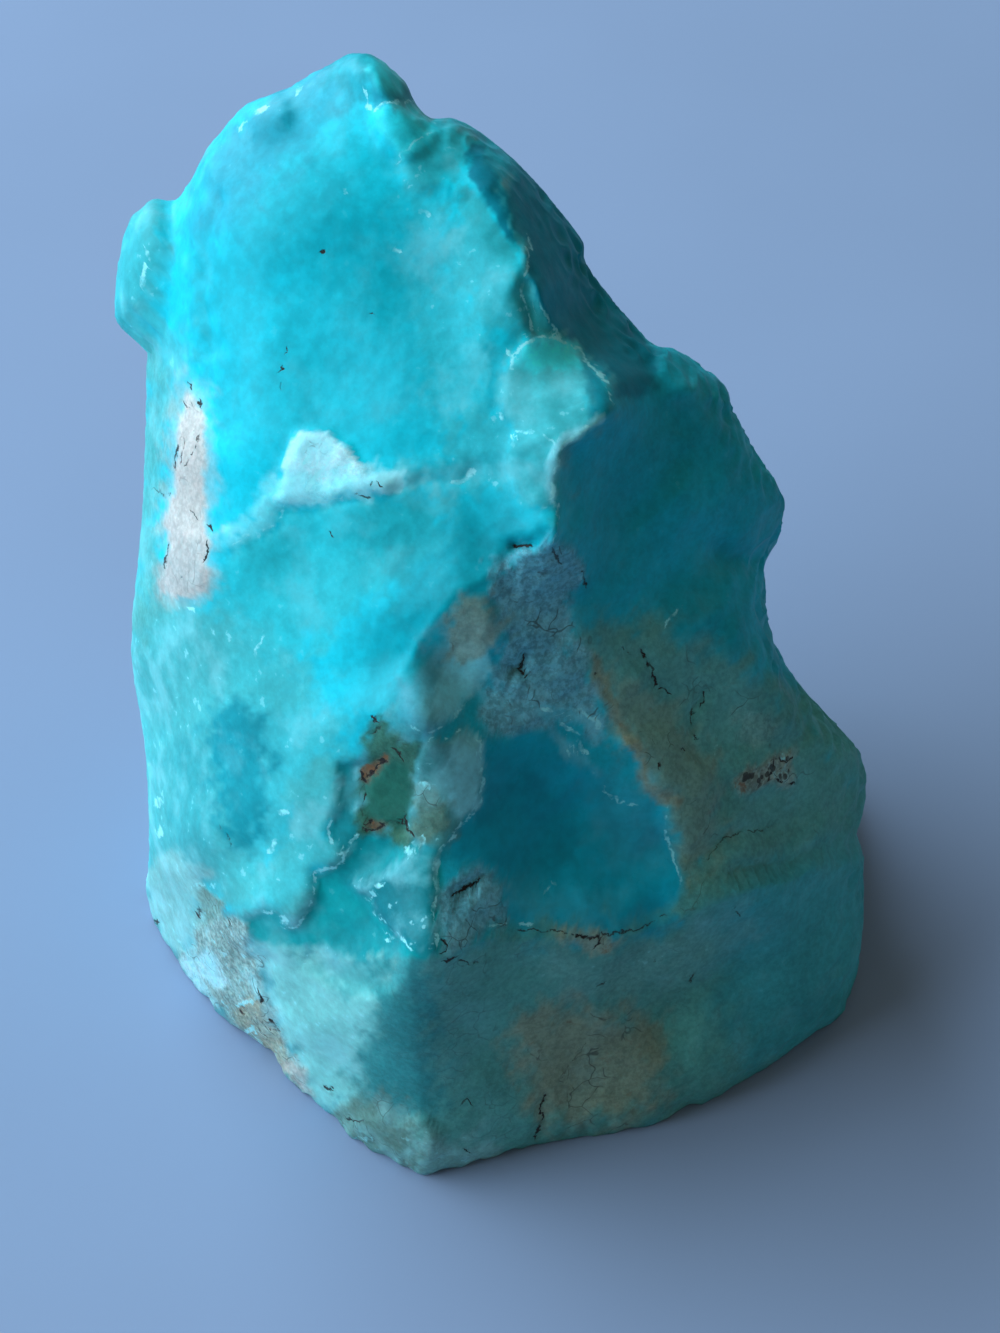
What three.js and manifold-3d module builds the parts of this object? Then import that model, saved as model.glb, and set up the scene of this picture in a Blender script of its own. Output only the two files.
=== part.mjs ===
// Hemimorphite specimen: one natural stone of botryoidal blue-green crust, standing on a flat broken base.
// Millimetres, +Z up, the viewer's side faces -Y. The origin is the middle of the base.
//
// The stone's shape is laid out on a drawing sheet that leans back 45 degrees, so that it faces a viewer
// who looks down at the stone from the front. A place on the sheet is [across, up] in mm, and a surface
// is given by how near it comes to the viewer, measured square to the sheet. Four rules then make the
// solid: the relief of the front, the outline that the sides follow, a rounded back, and a flat base.
import * as THREE from 'three';
import { mergeVertices } from 'three/addons/utils/BufferGeometryUtils.js';
import Module from 'manifold-3d';

// ---------- driving dimensions ----------
const SHEET_LEAN = THREE.MathUtils.degToRad(45);
const SHEET_HEIGHT = 30; // height of the sheet's middle above the table
const EYE_DISTANCE = 262; // sight lines spread from a point this far in front of the sheet
const BACK_REACH = 27; // how far the back bulges behind the sheet's middle
const BACK_ROUNDING = 0.0026; // mm lost per square mm of height or width, towards the back's rim
const SIDE_START = 6; // depth behind the front where the sides start to close in
const SIDE_ROUNDING = 0.0065;
const RIM_BLEND = 4; // rounding between front and sides
const BACK_BLEND = 5; // rounding between sides and back
const POINT_SOFTNESS = 3; // rounding of the relief around each surface point
const FACET_LEVEL = 21; // 20 * 22 * 22 = 9,680 facets before the base is cut
const CORE_MIDDLE = new THREE.Vector3(-1, 3, 33); // the surface is found by going outwards from here
const CORE_SLANT = new THREE.Vector3(-2, 6, 20); // the core leans and stretches along the stone
const BELOW_BASE = 2.5; // the stone is made this much deeper, then cut flat
const FOOT_HEIGHT = 9; // the sides stop closing in below this height, so the base stays broad
const SIDE_LIMIT = 31.8; // the left and right corners of the base are broken off here
const SIDE_BLEND = 1.2;

// The outline on the sheet, clockwise from the tip.
const OUTLINE = [
  [-12.1, 51.5], [-10.5, 51], [-9, 49.8], [-7.8, 48.5], [-7.1, 46.9], [-5.7, 45.6], [-3.1, 45.4],
  [1.7, 41.7], [6.5, 35.7], [6.7, 34.5], [7.7, 32.5], [12.2, 27], [14.3, 26.4], [16.7, 25],
  [18.6, 23.3], [19.3, 21.2], [21.4, 17.4], [22.9, 15.4], [23.6, 13.5], [23.2, 11.2], [22.2, 9.5],
  [21.8, 7.9], [22.7, 2.2], [25.5, -2.4], [29.2, -6.2], [30.2, -8.5], [30.5, -10.7], [29.5, -14.3],
  [30.2, -15.8], [30.1, -23.2], [28.8, -28], [27.7, -29.6], [18, -36], [15.8, -36.4], [13.5, -38],
  [10, -39], [2.9, -39.9], [-5.5, -42.6], [-8, -42], [-12.9, -39.5], [-14.5, -37.4],
  [-17.7, -34.7], [-18.8, -32.2], [-23.2, -29.3], [-25.3, -27.3], [-27, -24.9], [-29.7, -19.7],
  [-30, -17.8], [-29.2, -16], [-29.6, -6.1], [-30.8, 1.4], [-29.8, 12.2], [-29.4, 26.4],
  [-29.8, 27.3], [-31, 27.5], [-32.1, 28.8], [-32.3, 30.5], [-31.3, 36.4], [-30.2, 38.2],
  [-28.7, 39.2], [-26.7, 39.3], [-24.2, 43.8], [-22.3, 46.5], [-21.1, 47.5], [-19.2, 48],
  [-14.3, 50.8],
];

// Surface points [across, up, near]: the front passes smoothly through them.
const SURFACE = {
  baseEdge: [
    [-5.8, -41.8, 1.5], [-25, -26.5, -11], [-16.7, -34.9, -3.5], [-29.2, -19, -16], [3.3, -39.3, 1],
    [15.8, -36, -1], [25, -31, -5], [29, -27.8, -7], [30.2, -19.5, -5], [30.5, -10.7, -3],
  ],
  lowerBand: [
    [-5, -23.8, 18.5], [-5.8, -32, 11], [-9.2, -27.8, 14.5], [-16.7, -23.6, 9], [-16.7, -31.1, 2],
    [-20.8, -27.8, -2], [8.3, -23.2, 11.5], [8.3, -32, 4.5], [0, -23.2, 15.5], [0, -32, 8.5],
    [16.7, -20.3, 8.5], [16.7, -27.8, 2.5], [25, -15.3, 3], [26.7, -24.5, -3], [21.7, -19.5, 5.5],
  ],
  darkFace: [
    [-4.6, -2, 21.8], [-1.7, 2.2, 23], [3.8, -12, 17], [-1.8, -10.3, 20.5], [13.8, -11.1, 13],
    [7.5, -19.5, 14], [1.7, 2.2, 22.5], [8.3, -4.5, 17], [0, -4.5, 20], [10, -16.1, 13],
    [16.7, -7, 12], [23.3, -9.5, 6], [28.3, -10.3, 0], [11.7, 1.4, 17], [20, 1.4, 11.5],
    [22.9, 4.7, 7.5], [26.7, -5.3, 3.5], [5, 3.9, 21.5], [10, 12.2, 20.5], [16.7, 13.9, 17],
    [23, 13.9, 10], [22.1, 8.9, 9], [12.5, 20.5, 20.5], [18.5, 22.2, 15], [9.3, 26.8, 20.5],
    [11.8, 27.6, 18],
  ],
  tip: [
    [5.8, 30.1, 22], [6.8, 34.7, 18.8], [3.3, 31.4, 26.3], [0, 38.9, 25], [4.3, 38.2, 20],
    [-1, 43.7, 21.5], [-5.8, 44.7, 23.5], [-8.8, 46.2, 24], [-12.1, 50.5, 22.5],
    [-16.7, 48.5, 20.5], [-12.5, 45.5, 23.5], [-20.8, 46.8, 18.5],
  ],
  brightSlab: [
    [-16.7, 40.5, 23], [-25, 41.8, 16.5], [-22.9, 37.2, 20], [-8.3, 37.2, 25.3],
    [-16.7, 30.5, 22.5], [-24, 28, 18], [-27.9, 30.5, 13.5], [-26.2, 38.9, 15.5],
    [-29.2, 22.2, 8.5], [-24.6, 18, 16.5], [-25.8, 8.9, 13], [-29.8, 13.9, 5.5], [-30.3, 7.2, 4],
    [-16.7, 20.5, 22.5], [-8.3, 23.9, 25.2], [-1.7, 23.9, 26.8], [-3.3, 31.4, 26],
    [4.6, 23.5, 27.2], [8.8, 22.2, 26.3], [4.3, 16.4, 27.5], [4.2, 10.5, 26], [-1.7, 15.5, 26],
    [-9.2, 15.5, 24.5], [-16.7, 12.2, 20.5], [-20.8, 5.5, 16.5],
  ],
  leftFlank: [
    [-30.6, 1.4, 1], [-25.4, 1.4, 10.5], [-12.5, 5.5, 22], [-5.8, 5.5, 24.2], [0, 8.9, 25.3],
    [-8.3, -2, 22.5], [-12.5, -2.8, 20.5], [-5.8, -2.8, 23.5], [-16.7, -2.8, 17.5],
    [-20.8, -7, 13.5], [-26.7, -7, 4.5], [-29.5, -6.1, -2], [-30.8, 34.7, 11], [-31.2, 29.7, 9.5],
  ],
  lowerFlakes: [
    [-14.2, -11.1, 17.5], [-20.8, -15.3, 10], [-26.7, -15.3, 1], [-29.2, -14.5, -7],
    [-16.7, -19.5, 12.5], [-23.3, -19.5, 3.5], [-21.7, -22.8, 3.5], [-9.2, -10.3, 19.5],
    [-4.2, -10.3, 21.5], [-6.7, -19.5, 19.5], [-10.8, -19.5, 16.5], [-13.3, -23.6, 12.5],
    [-9.6, -24, 16],
  ],
};

// Crests: sharp edges that stand `height` above the relief and fade out over `reach` on both sides.
const CRESTS = [
  { // between the bright slab and the dark face, from the tip down to the round knob
    height: 1.5, reach: 4.6, ragged: 0.4,
    line: [
      [-10.7, 50.5], [-8.3, 46], [-5, 45.4], [-2, 43.7], [0.2, 39.9], [1.8, 35.7], [3, 31.7],
      [4.3, 28.7],
    ],
  },
  { // round the knob's right side
    height: 0.7, reach: 4, ragged: 0.2,
    line: [[5.2, 27.7], [7.7, 25.9], [9.2, 23.5], [9.4, 21.9]],
  },
  { // from the knob down the ledge
    height: 1.7, reach: 6, ragged: 0.4,
    line: [[8.8, 21.2], [6.8, 19.2], [5.2, 18], [4.8, 13.9], [4.3, 10.1]],
  },
  { // the soft turn across the middle
    height: 0.8, reach: 5, ragged: 0.4,
    line: [[4.2, 10.5], [0, 7.9], [-3.8, 6], [-6.8, 2.2], [-8.7, -2], [-10.7, -3.8]],
  },
  { // top edge of the lower band
    height: 2, reach: 6.5, ragged: 0.5,
    line: [
      [-21, -22.1], [-16.7, -23.6], [-10, -24.3], [-5, -24], [0, -22.6], [7.5, -22.6],
      [12.5, -21.6], [17.1, -20], [23.3, -17.8], [30.2, -15],
    ],
  },
  { // rounded upright edge at the front of the lower band
    height: 0.6, reach: 9, ragged: 0.4,
    line: [[-7.7, -24.3], [-7.3, -28.6], [-6.7, -34.5], [-5.8, -41.8]],
  },
  { // left edge of the bright slab
    height: 1, reach: 4, ragged: 0.4,
    line: [
      [-24.6, 41.5], [-25.8, 36.4], [-26.5, 30.5], [-26.8, 24.5], [-27.7, 18.9], [-28.5, 13.9],
    ],
  },
  { // shoulder at the upper right
    height: 1.2, reach: 5, ragged: 0.4,
    line: [[12.9, 26.4], [15.8, 22.2], [19.2, 18.9], [23, 14.5]],
  },
  { // right flank below the notch
    height: 1.2, reach: 5, ragged: 0.4,
    line: [[21.8, 8.9], [20, 2.2], [24.2, -2.8], [28.8, -7.8]],
  },
];

// Ledges: patches raised (or, with a negative height, sunk) by `height`, with a wall `wall` wide.
// With `dome` the top is rounded, and reaches its full height that far in from the edge.
const LEDGES = [
  { // sugary shelf on the bright slab
    height: 0.5, wall: 0.6, dome: 0, ragged: 0.4,
    edge: [
      [-18.4, 14.5], [-18.2, 16.4], [-17.9, 17.6], [-17.3, 18.9], [-16.5, 19.6], [-15.3, 19.5],
      [-13.8, 19], [-12.8, 18.3], [-12.3, 17.5], [-11.5, 16.4], [-10.2, 16.2], [-9, 15.5],
      [-9.2, 14.5], [-10.7, 14.2], [-12.1, 14.4], [-13.5, 14.2], [-14.8, 14], [-16.7, 13.8],
      [-17.8, 13.5],
    ],
  },
  { // hollow under the jagged lower end of the bright slab
    height: -1.1, wall: 0.8, dome: 0, ragged: 0.25,
    edge: [
      [-13.2, -16.3], [-14.6, -17], [-15.6, -17.2], [-15.4, -18.9], [-16.2, -20.3], [-16.9, -21.5],
      [-17.7, -21.5], [-18.5, -20.6], [-19.8, -20.5], [-21, -21.1], [-20.5, -22.3], [-18.3, -23.6],
      [-15.8, -25.1], [-13.3, -26.5], [-10.7, -27], [-8.8, -26.3], [-8.2, -24.9], [-8.3, -23.1],
      [-9.6, -21.4], [-11.2, -19.5], [-12.1, -18.1], [-10.3, -17.3], [-8.8, -16], [-8.3, -14.6],
      [-10, -14], [-11.3, -13.8],
    ],
  },
  { // pale green flake
    height: 0.6, wall: 0.5, dome: 0, ragged: 0.3,
    edge: [
      [-5.7, -6.2], [-4.6, -6.1], [-3.4, -5.6], [-2.7, -6.4], [-1.7, -6.2], [-1.8, -7.1],
      [-1.5, -8.2], [-1.6, -9.9], [-1.7, -11], [-2.2, -12], [-3.2, -13.1], [-4.3, -14.7],
      [-5, -15.3], [-6.3, -14.8], [-7.4, -13.8], [-7.6, -12.4], [-6.9, -10.3], [-6.9, -8.2],
      [-6.4, -7.1],
    ],
  },
  { // clear flake below it
    height: 0.5, wall: 0.5, dome: 0, ragged: 0.3,
    edge: [
      [-12.3, -18], [-10.3, -17.5], [-8.7, -16.3], [-7.2, -15.3], [-4.8, -15.3], [-5.6, -17],
      [-5.2, -19], [-5.5, -21.1], [-5.2, -23.3], [-6.3, -23.7], [-8.2, -23], [-9.6, -21.3],
      [-11.3, -19.4],
    ],
  },
  { // grainy patch right of the middle
    height: -0.5, wall: 0.9, dome: 0, ragged: 1,
    edge: [
      [0.4, 10.1], [3.8, 10.5], [6, 8.9], [6.7, 4.7], [5, 0.5], [2.5, -1.1], [0, -0.3], [-0.2, 5.5],
    ],
  },
  { // round knob on the main crest
    height: 1.1, wall: 1, dome: 3, ragged: 0.2,
    edge: [
      [1.2, 26.2], [2.3, 27.1], [3.8, 27.4], [5.3, 27.1], [6.7, 26.3], [7.8, 25.2], [8.7, 23.9],
      [9.4, 22], [8.7, 21], [7.3, 19.9], [6, 19], [4.9, 18.1], [3.6, 18.8], [1.7, 19.5],
      [0.5, 20.5], [0, 22.4], [0.2, 24.7],
    ],
  },
  { // lobe on the upper right shoulder
    height: 0.9, wall: 0.9, dome: 2.5, ragged: 0.3,
    edge: [
      [12.5, 27], [13.6, 25.7], [14.5, 24.2], [15.1, 22.5], [17.1, 22.1], [19.6, 21.7],
      [19.2, 23.2], [17.7, 24.6], [15.8, 25.8], [14, 26.7],
    ],
  },
  { // pinkish lobe in the middle
    height: 0.35, wall: 0.8, dome: 2.5, ragged: 0.4,
    edge: [
      [-7.8, 1], [-5.8, 3.9], [-4, 5.4], [-1.8, 5.7], [0, 5], [0.2, 3.4], [-0.7, 1], [-1.7, -1.5],
      [-2.8, -3.1], [-4, -4.4], [-5.3, -5.5], [-6.7, -5.3], [-7.9, -3.6],
    ],
  },
  { // lobe at the tip
    height: 0.7, wall: 1.2, dome: 4, ragged: 0.3,
    edge: [
      [-12.9, 52.2], [-9.6, 51.8], [-7.3, 49.3], [-7, 47.2], [-8.8, 47.7], [-10.7, 48],
      [-12.3, 48.7],
    ],
  },
  { // round lobe below the tip
    height: 0.6, wall: 0.6, dome: 3, ragged: 0.2,
    edge: [
      [-10.8, 46], [-9.8, 46.7], [-8.7, 47], [-7.5, 46.8], [-6.3, 46.1], [-5, 45.2], [-5.5, 43.4],
      [-7.3, 42.4], [-9.3, 42.9], [-10.5, 44.4],
    ],
  },
  { // ear-shaped lobe at the upper left
    height: 1.4, wall: 1.4, dome: 5, ragged: 0.2,
    edge: [
      [-33.3, 28], [-32.7, 34.7], [-30.8, 39.2], [-27.8, 39.7], [-27.4, 36], [-27.8, 30.5],
      [-28.3, 26.5], [-31.7, 26.4],
    ],
  },
  { // small lobe left of the tip
    height: 1.3, wall: 1.1, dome: 4, ragged: 0.3,
    edge: [
      [-21.5, 46.2], [-20.8, 47.9], [-18.5, 48.2], [-17.2, 46.9], [-17.8, 45], [-19.8, 44.4],
      [-21.2, 44.9],
    ],
  },
  { // soft lobe right of the tip
    height: 0.7, wall: 1, dome: 5, ragged: 0.3,
    edge: [
      [-8.4, 41.5], [-8, 43], [-6.7, 43.9], [-5.2, 44.9], [-3.8, 45.5], [-2.3, 45.2], [-0.7, 43],
      [0, 40.1], [-2.5, 39.2], [-5.8, 39.5], [-7.8, 40.2],
    ],
  },
  { // pale bulge at the lower left
    height: 0.9, wall: 0.8, dome: 4, ragged: 0.4,
    edge: [
      [-26.7, -16.5], [-29.2, -16.1], [-30.3, -17.8], [-30, -21.1], [-28.3, -23.6], [-25.8, -22],
      [-24.6, -19],
    ],
  },
  { // sugary front corner of the base
    height: 0.9, wall: 0.8, dome: 3, ragged: 1,
    edge: [
      [-12.5, -37.8], [-9.6, -37.1], [-6.2, -38], [-4.6, -41.5], [-6.7, -43.6], [-10, -42.8],
      [-12.5, -40.3],
    ],
  },
  { // rusty lobe on the right
    height: 0.8, wall: 0.8, dome: 4, ragged: 1,
    edge: [
      [10, -6.5], [12.5, -5.7], [16.7, -7.8], [18, -11.1], [16.7, -15.3], [14.3, -15.3],
      [14, -11.5], [12.5, -9.5],
    ],
  },
];

// Creases: grooves `depth` deep that fade out over `reach` on both sides.
const CREASES = [
  { // behind the ear
    depth: 1.8, reach: 1.6, ragged: 0.3,
    line: [[-27.1, 39.2], [-27.3, 35.7], [-27.8, 30.5], [-28.3, 26.2]],
  },
  { // beside the ledge
    depth: 1.6, reach: 0.9, ragged: 0.5,
    line: [[6, 18.2], [5.5, 16.4], [5.2, 13.9], [5.3, 12], [4.8, 9.9]],
  },
  { // broken edge above the knob
    depth: 0.6, reach: 0.7, ragged: 0.6,
    line: [[2.5, 32.9], [1.9, 31.5], [1.7, 30.4], [2.2, 29.4]],
  },
  { // under the shelf and along the step
    depth: 0.35, reach: 0.9, ragged: 0.6,
    line: [
      [-19, 12.8], [-16.7, 13], [-13.8, 13.5], [-10.7, 14.1], [-8.7, 14.7], [-5, 15.5], [-1.7, 16],
    ],
  },
  { // above the lower band
    depth: 0.5, reach: 1.3, ragged: 0.6,
    line: [[-0.7, -21.6], [2.5, -21.9], [5.8, -22.2], [8.8, -22.3], [11.7, -21.6], [14, -20.7]],
  },
  { // notch in the right edge
    depth: 1.6, reach: 1.1, ragged: 0.5,
    line: [[22.3, 9.2], [20.7, 8.7], [18.5, 9.5]],
  },
  { // above the band's right end
    depth: 1.2, reach: 0.9, ragged: 1,
    line: [[30, -14.3], [27.5, -15.3], [24.6, -16.3], [20, -17.1]],
  },
  { // between the rock strip and the bulge
    depth: 1, reach: 0.8, ragged: 1,
    line: [[-25.3, -18.8], [-23.8, -21.1], [-20.8, -24.5], [-19, -27.8], [-16.7, -32.8]],
  },
  { // along the right edge
    depth: 1, reach: 0.8, ragged: 0.5,
    line: [[22.9, 10.1], [25, -2.8], [27.9, -4.6]],
  },
];

// Scoops: shallow round hollows where chips have broken away.
const SCOOPS = [
  { depth: 2, reach: 10.5, at: [5.2, -13.3] }, // the smooth dark window
  { depth: 1, reach: 6.5, at: [11.7, 5.5] },
  { depth: 1.2, reach: 7, at: [16.7, -2.8] },
  { depth: 0.8, reach: 6, at: [10.4, 16.4] },
  { depth: 0.9, reach: 5.5, at: [15.8, 8.9] },
  { depth: 0.9, reach: 7.5, at: [-15, 7.6] },
  { depth: 0.8, reach: 6, at: [-8.3, 10.1] },
  { depth: 0.8, reach: 5.5, at: [-21.8, -8.6] },
  { depth: 0.8, reach: 4.5, at: [23.3, -13.6] },
  { depth: 1, reach: 5, at: [20, -24.5] },
  { depth: 1, reach: 5.5, at: [7.5, -33.6] },
  { depth: 0.8, reach: 4, at: [-13.3, -32.8] },
  { depth: 0.6, reach: 4.5, at: [-1.7, -31.1] },
  { depth: 1, reach: 5, at: [12.9, -27.8] },
  { depth: 0.6, reach: 7, at: [-14.2, 23.9] },
  { depth: 0.6, reach: 8, at: [-8.3, 33] },
  { depth: 0.9, reach: 3.5, at: [-21.7, -24.5] },
  { depth: 0.9, reach: 3, at: [-19.8, -31.1] },
];

// Knobs: the rounded botryoidal domes that cover the back, spread evenly over all directions.
const KNOB_COUNT = 110;
const KNOB_DEPTH = 2.2;
const KNOB_JITTER = 0.16;
const KNOB_SPREAD = 0.05; // squared angle between a dome's top and the foot of the valley round it
const GOLDEN_ANGLE = 2.399963;

// ---------- small helpers ----------
const clamp = THREE.MathUtils.clamp;

function smoothRise(from, to, value) {
  const t = clamp((value - from) / (to - from), 0, 1);
  return t * t * (3 - 2 * t);
}

function blendMax(a, b, width) {
  const overlap = Math.max(width - Math.abs(a - b), 0);
  return Math.max(a, b) + overlap * overlap / (4 * width);
}

// Rolling noise of about -1 to 1, made of five slanting waves that bend one another.
const WAVE_ACROSS = [
  [0.8, 0.5, 0.33], [-0.45, 0.83, 0.32], [0.25, -0.41, 0.88], [-0.7, -0.3, 0.65], [0.6, -0.72, -0.35],
];
const WAVE_BEND = [
  [0.1, 0.9, -0.42], [0.77, -0.2, 0.6], [-0.9, 0.3, 0.3], [0.2, 0.65, 0.73], [-0.5, -0.5, 0.7],
];

function wave(x, y, z, length, seed) {
  const turns = 2 * Math.PI / length;
  let sum = 0;
  for (let i = 0; i < 5; i += 1) {
    const [ax, ay, az] = WAVE_ACROSS[i];
    const [bx, by, bz] = WAVE_BEND[i];
    const bend = 1.1 * Math.sin(0.83 * turns * (bx * x + by * y + bz * z) + 2.1 * i + seed);
    sum += Math.sin(turns * (ax * x + ay * y + az * z) + bend + 1.7 * i + 1.3 * seed);
  }
  return sum / 2.6;
}

// A smooth curve through points of the sheet, as a list of short straight steps.
function curveThrough(points, closed, stepsPerPoint) {
  const places = points.map(([across, up]) => new THREE.Vector3(across, up, 0));
  const curve = new THREE.CatmullRomCurve3(places, closed, 'catmullrom', 0.5);
  const spans = closed ? points.length : points.length - 1;
  return curve.getPoints(spans * stepsPerPoint);
}

function distanceToCurve(across, up, curve) {
  let nearest = Infinity;
  for (let i = 0; i + 1 < curve.length; i += 1) {
    const dx = curve[i + 1].x - curve[i].x;
    const dy = curve[i + 1].y - curve[i].y;
    const px = across - curve[i].x;
    const py = up - curve[i].y;
    const t = clamp((px * dx + py * dy) / (dx * dx + dy * dy), 0, 1);
    nearest = Math.min(nearest, (px - t * dx) ** 2 + (py - t * dy) ** 2);
  }
  return Math.sqrt(nearest);
}

// Distance to a closed curve, negative inside it.
function signedDistance(across, up, curve) {
  let inside = false;
  for (let i = 0; i + 1 < curve.length; i += 1) {
    const a = curve[i];
    const b = curve[i + 1];
    if ((a.y > up) !== (b.y > up) && across < a.x + (b.x - a.x) * (up - a.y) / (b.y - a.y)) {
      inside = !inside;
    }
  }
  const distance = distanceToCurve(across, up, curve);
  return inside ? -distance : distance;
}

// Solves the square system rows * x = values by elimination with row exchange.
function solveLinear(rows, values) {
  const size = values.length;
  for (let pivot = 0; pivot < size; pivot += 1) {
    let best = pivot;
    for (let row = pivot + 1; row < size; row += 1) {
      if (Math.abs(rows[row][pivot]) > Math.abs(rows[best][pivot])) {
        best = row;
      }
    }
    [rows[pivot], rows[best]] = [rows[best], rows[pivot]];
    [values[pivot], values[best]] = [values[best], values[pivot]];
    for (let row = pivot + 1; row < size; row += 1) {
      const factor = rows[row][pivot] / rows[pivot][pivot];
      for (let column = pivot; column < size; column += 1) {
        rows[row][column] -= factor * rows[pivot][column];
      }
      values[row] -= factor * values[pivot];
    }
  }
  const solution = new Array(size).fill(0);
  for (let row = size - 1; row >= 0; row -= 1) {
    let rest = values[row];
    for (let column = row + 1; column < size; column += 1) {
      rest -= rows[row][column] * solution[column];
    }
    solution[row] = rest / rows[row][row];
  }
  return solution;
}

// ---------- the relief of the front ----------
const surfacePoints = Object.values(SURFACE).flat();

function softDistance(across, up, point) {
  return Math.sqrt((across - point[0]) ** 2 + (up - point[1]) ** 2 + POINT_SOFTNESS ** 2);
}

const pointWeights = solveLinear(
  surfacePoints.map(([across, up]) => surfacePoints.map((other) => softDistance(across, up, other))),
  surfacePoints.map((point) => point[2]),
);

const outlineCurve = curveThrough(OUTLINE, true, 3);
const crests = CRESTS.map((crest) => ({ ...crest, curve: curveThrough(crest.line, false, 4) }));
const ledges = LEDGES.map((ledge) => ({ ...ledge, curve: curveThrough(ledge.edge, true, 3) }));
const creases = CREASES.map((crease) => ({ ...crease, curve: curveThrough(crease.line, false, 4) }));

function ledgeRise(ledge, distance) {
  const rise = smoothRise(ledge.wall, -ledge.wall, distance);
  if (ledge.dome === 0) {
    return ledge.height * rise;
  }
  const inward = clamp(-distance / ledge.dome, 0, 1);
  return ledge.height * rise * (0.55 + 0.45 * Math.sqrt(1 - (1 - inward) ** 2));
}

// How near the front comes to the viewer at a place on the sheet.
function frontRelief(acrossSheet, upSheet) {
  let near = 0;
  surfacePoints.forEach((point, i) => {
    near += pointWeights[i] * softDistance(acrossSheet, upSheet, point);
  });
  // the edges of the features wander by their `ragged` share, so none of them runs straight
  const driftAcross = 0.45 * wave(acrossSheet, upSheet, 0, 4.5, 0)
    + 0.22 * wave(acrossSheet, upSheet, 0, 1.9, 2);
  const driftUp = 0.45 * wave(acrossSheet, upSheet, 0, 4.5, 5)
    + 0.22 * wave(acrossSheet, upSheet, 0, 1.9, 7);
  const wandered = (ragged) => [acrossSheet + ragged * driftAcross, upSheet + ragged * driftUp];
  for (const { height, reach, ragged, curve } of crests) {
    const closeness = clamp(1 - distanceToCurve(...wandered(ragged), curve) / reach, 0, 1);
    near += height * closeness ** 2;
  }
  for (const { depth, reach, at } of SCOOPS) {
    const distance = Math.hypot(acrossSheet - at[0], upSheet - at[1]) / reach;
    near -= depth * Math.max(1 - distance ** 2, 0) ** 2;
  }
  for (const ledge of ledges) {
    near += ledgeRise(ledge, signedDistance(...wandered(ledge.ragged), ledge.curve));
  }
  for (const { depth, reach, ragged, curve } of creases) {
    near -= depth * Math.exp(-((distanceToCurve(...wandered(ragged), curve) / reach) ** 2));
  }
  return near;
}

// ---------- the whole stone ----------
const sheetMiddle = new THREE.Vector3(0, 0, SHEET_HEIGHT);
const sheetUp = new THREE.Vector3(0, Math.sin(SHEET_LEAN), Math.cos(SHEET_LEAN));
const towardsViewer = new THREE.Vector3(0, -Math.cos(SHEET_LEAN), Math.sin(SHEET_LEAN));

const knobs = [];
for (let i = 0; i < KNOB_COUNT; i += 1) {
  const k = i + 0.5;
  const rise = 1 - 2 * k / KNOB_COUNT;
  const round = Math.sqrt(1 - rise * rise);
  knobs.push({
    x: round * Math.cos(k * GOLDEN_ANGLE) + KNOB_JITTER * Math.sin(k * 12.9898),
    y: round * Math.sin(k * GOLDEN_ANGLE) + KNOB_JITTER * Math.sin(k * 78.233),
    z: rise + KNOB_JITTER * Math.sin(k * 37.719),
    size: 0.75 + 0.5 * Math.sin(k * 7.7) ** 2,
  });
}

// How deep the valley between two knobs cuts at a place: 0 on top of a knob.
function knobValley(place) {
  const direction = place.clone().sub(CORE_MIDDLE).normalize();
  let nearest = 9;
  for (const { x, y, z, size } of knobs) {
    const gap = (direction.x - x) ** 2 + (direction.y - y) ** 2 + (direction.z - z) ** 2;
    nearest = Math.min(nearest, gap / size ** 2);
  }
  return KNOB_DEPTH * clamp(nearest / KNOB_SPREAD, 0, 1.2);
}

// Signed depth below the stone's surface: negative inside, positive outside.
function stoneField(place) {
  const { x, y, z } = place;
  const offset = place.clone().sub(sheetMiddle);
  const near = offset.dot(towardsViewer);
  const spread = 1 - near / EYE_DISTANCE;
  const across = offset.x / spread;
  const up = offset.dot(sheetUp) / spread;
  const behind = frontRelief(across, up) - near;
  const outside = signedDistance(across, up, outlineCurve);

  const closing = Math.max(behind - SIDE_START - 1.3 * Math.max(FOOT_HEIGHT - z, 0), 0);
  const side = outside + SIDE_ROUNDING * closing ** 2;
  let depth = blendMax(-behind, side, RIM_BLEND);
  const backLimit = BACK_REACH - BACK_ROUNDING * ((z - 35) ** 2 + x ** 2);
  depth = blendMax(depth, y - backLimit, BACK_BLEND);
  depth = blendMax(depth, Math.abs(x) - SIDE_LIMIT, SIDE_BLEND);
  const knobby = smoothRise(6, 18, behind) * smoothRise(-6, FOOT_HEIGHT, z);
  depth += knobValley(place) * knobby * (0.6 + 0.4 * wave(x, y, z, 40, 0));

  // broken-rock roughness: stronger on the dark side, weaker along the outline
  const calm = clamp(-outside / 3, 0.3, 1);
  const dull = smoothRise(-5, 9, across - 0.3 * Math.max(up, 0));
  depth += calm * (0.08 + 0.14 * dull) * wave(x, y, z, 9, 0);
  depth += calm * (0.04 + 0.16 * dull) * (Math.abs(wave(x, y, z, 7, 3)) - 0.4);
  return Math.max(depth, -z - BELOW_BASE);
}

// Goes outwards from the core until the surface is crossed, then closes in on it.
function surfacePlace(direction) {
  const start = CORE_MIDDLE.clone().addScaledVector(CORE_SLANT, direction.z);
  const stride = 2;
  const at = (distance) => start.clone().addScaledVector(direction, distance);
  let outer = stride;
  while (stoneField(at(outer)) <= 0) {
    outer += stride;
  }
  let inner = outer - stride;
  for (let i = 0; i < 12; i += 1) {
    const middle = (inner + outer) / 2;
    if (stoneField(at(middle)) > 0) {
      outer = middle;
    } else {
      inner = middle;
    }
  }
  return at((inner + outer) / 2);
}

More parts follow.
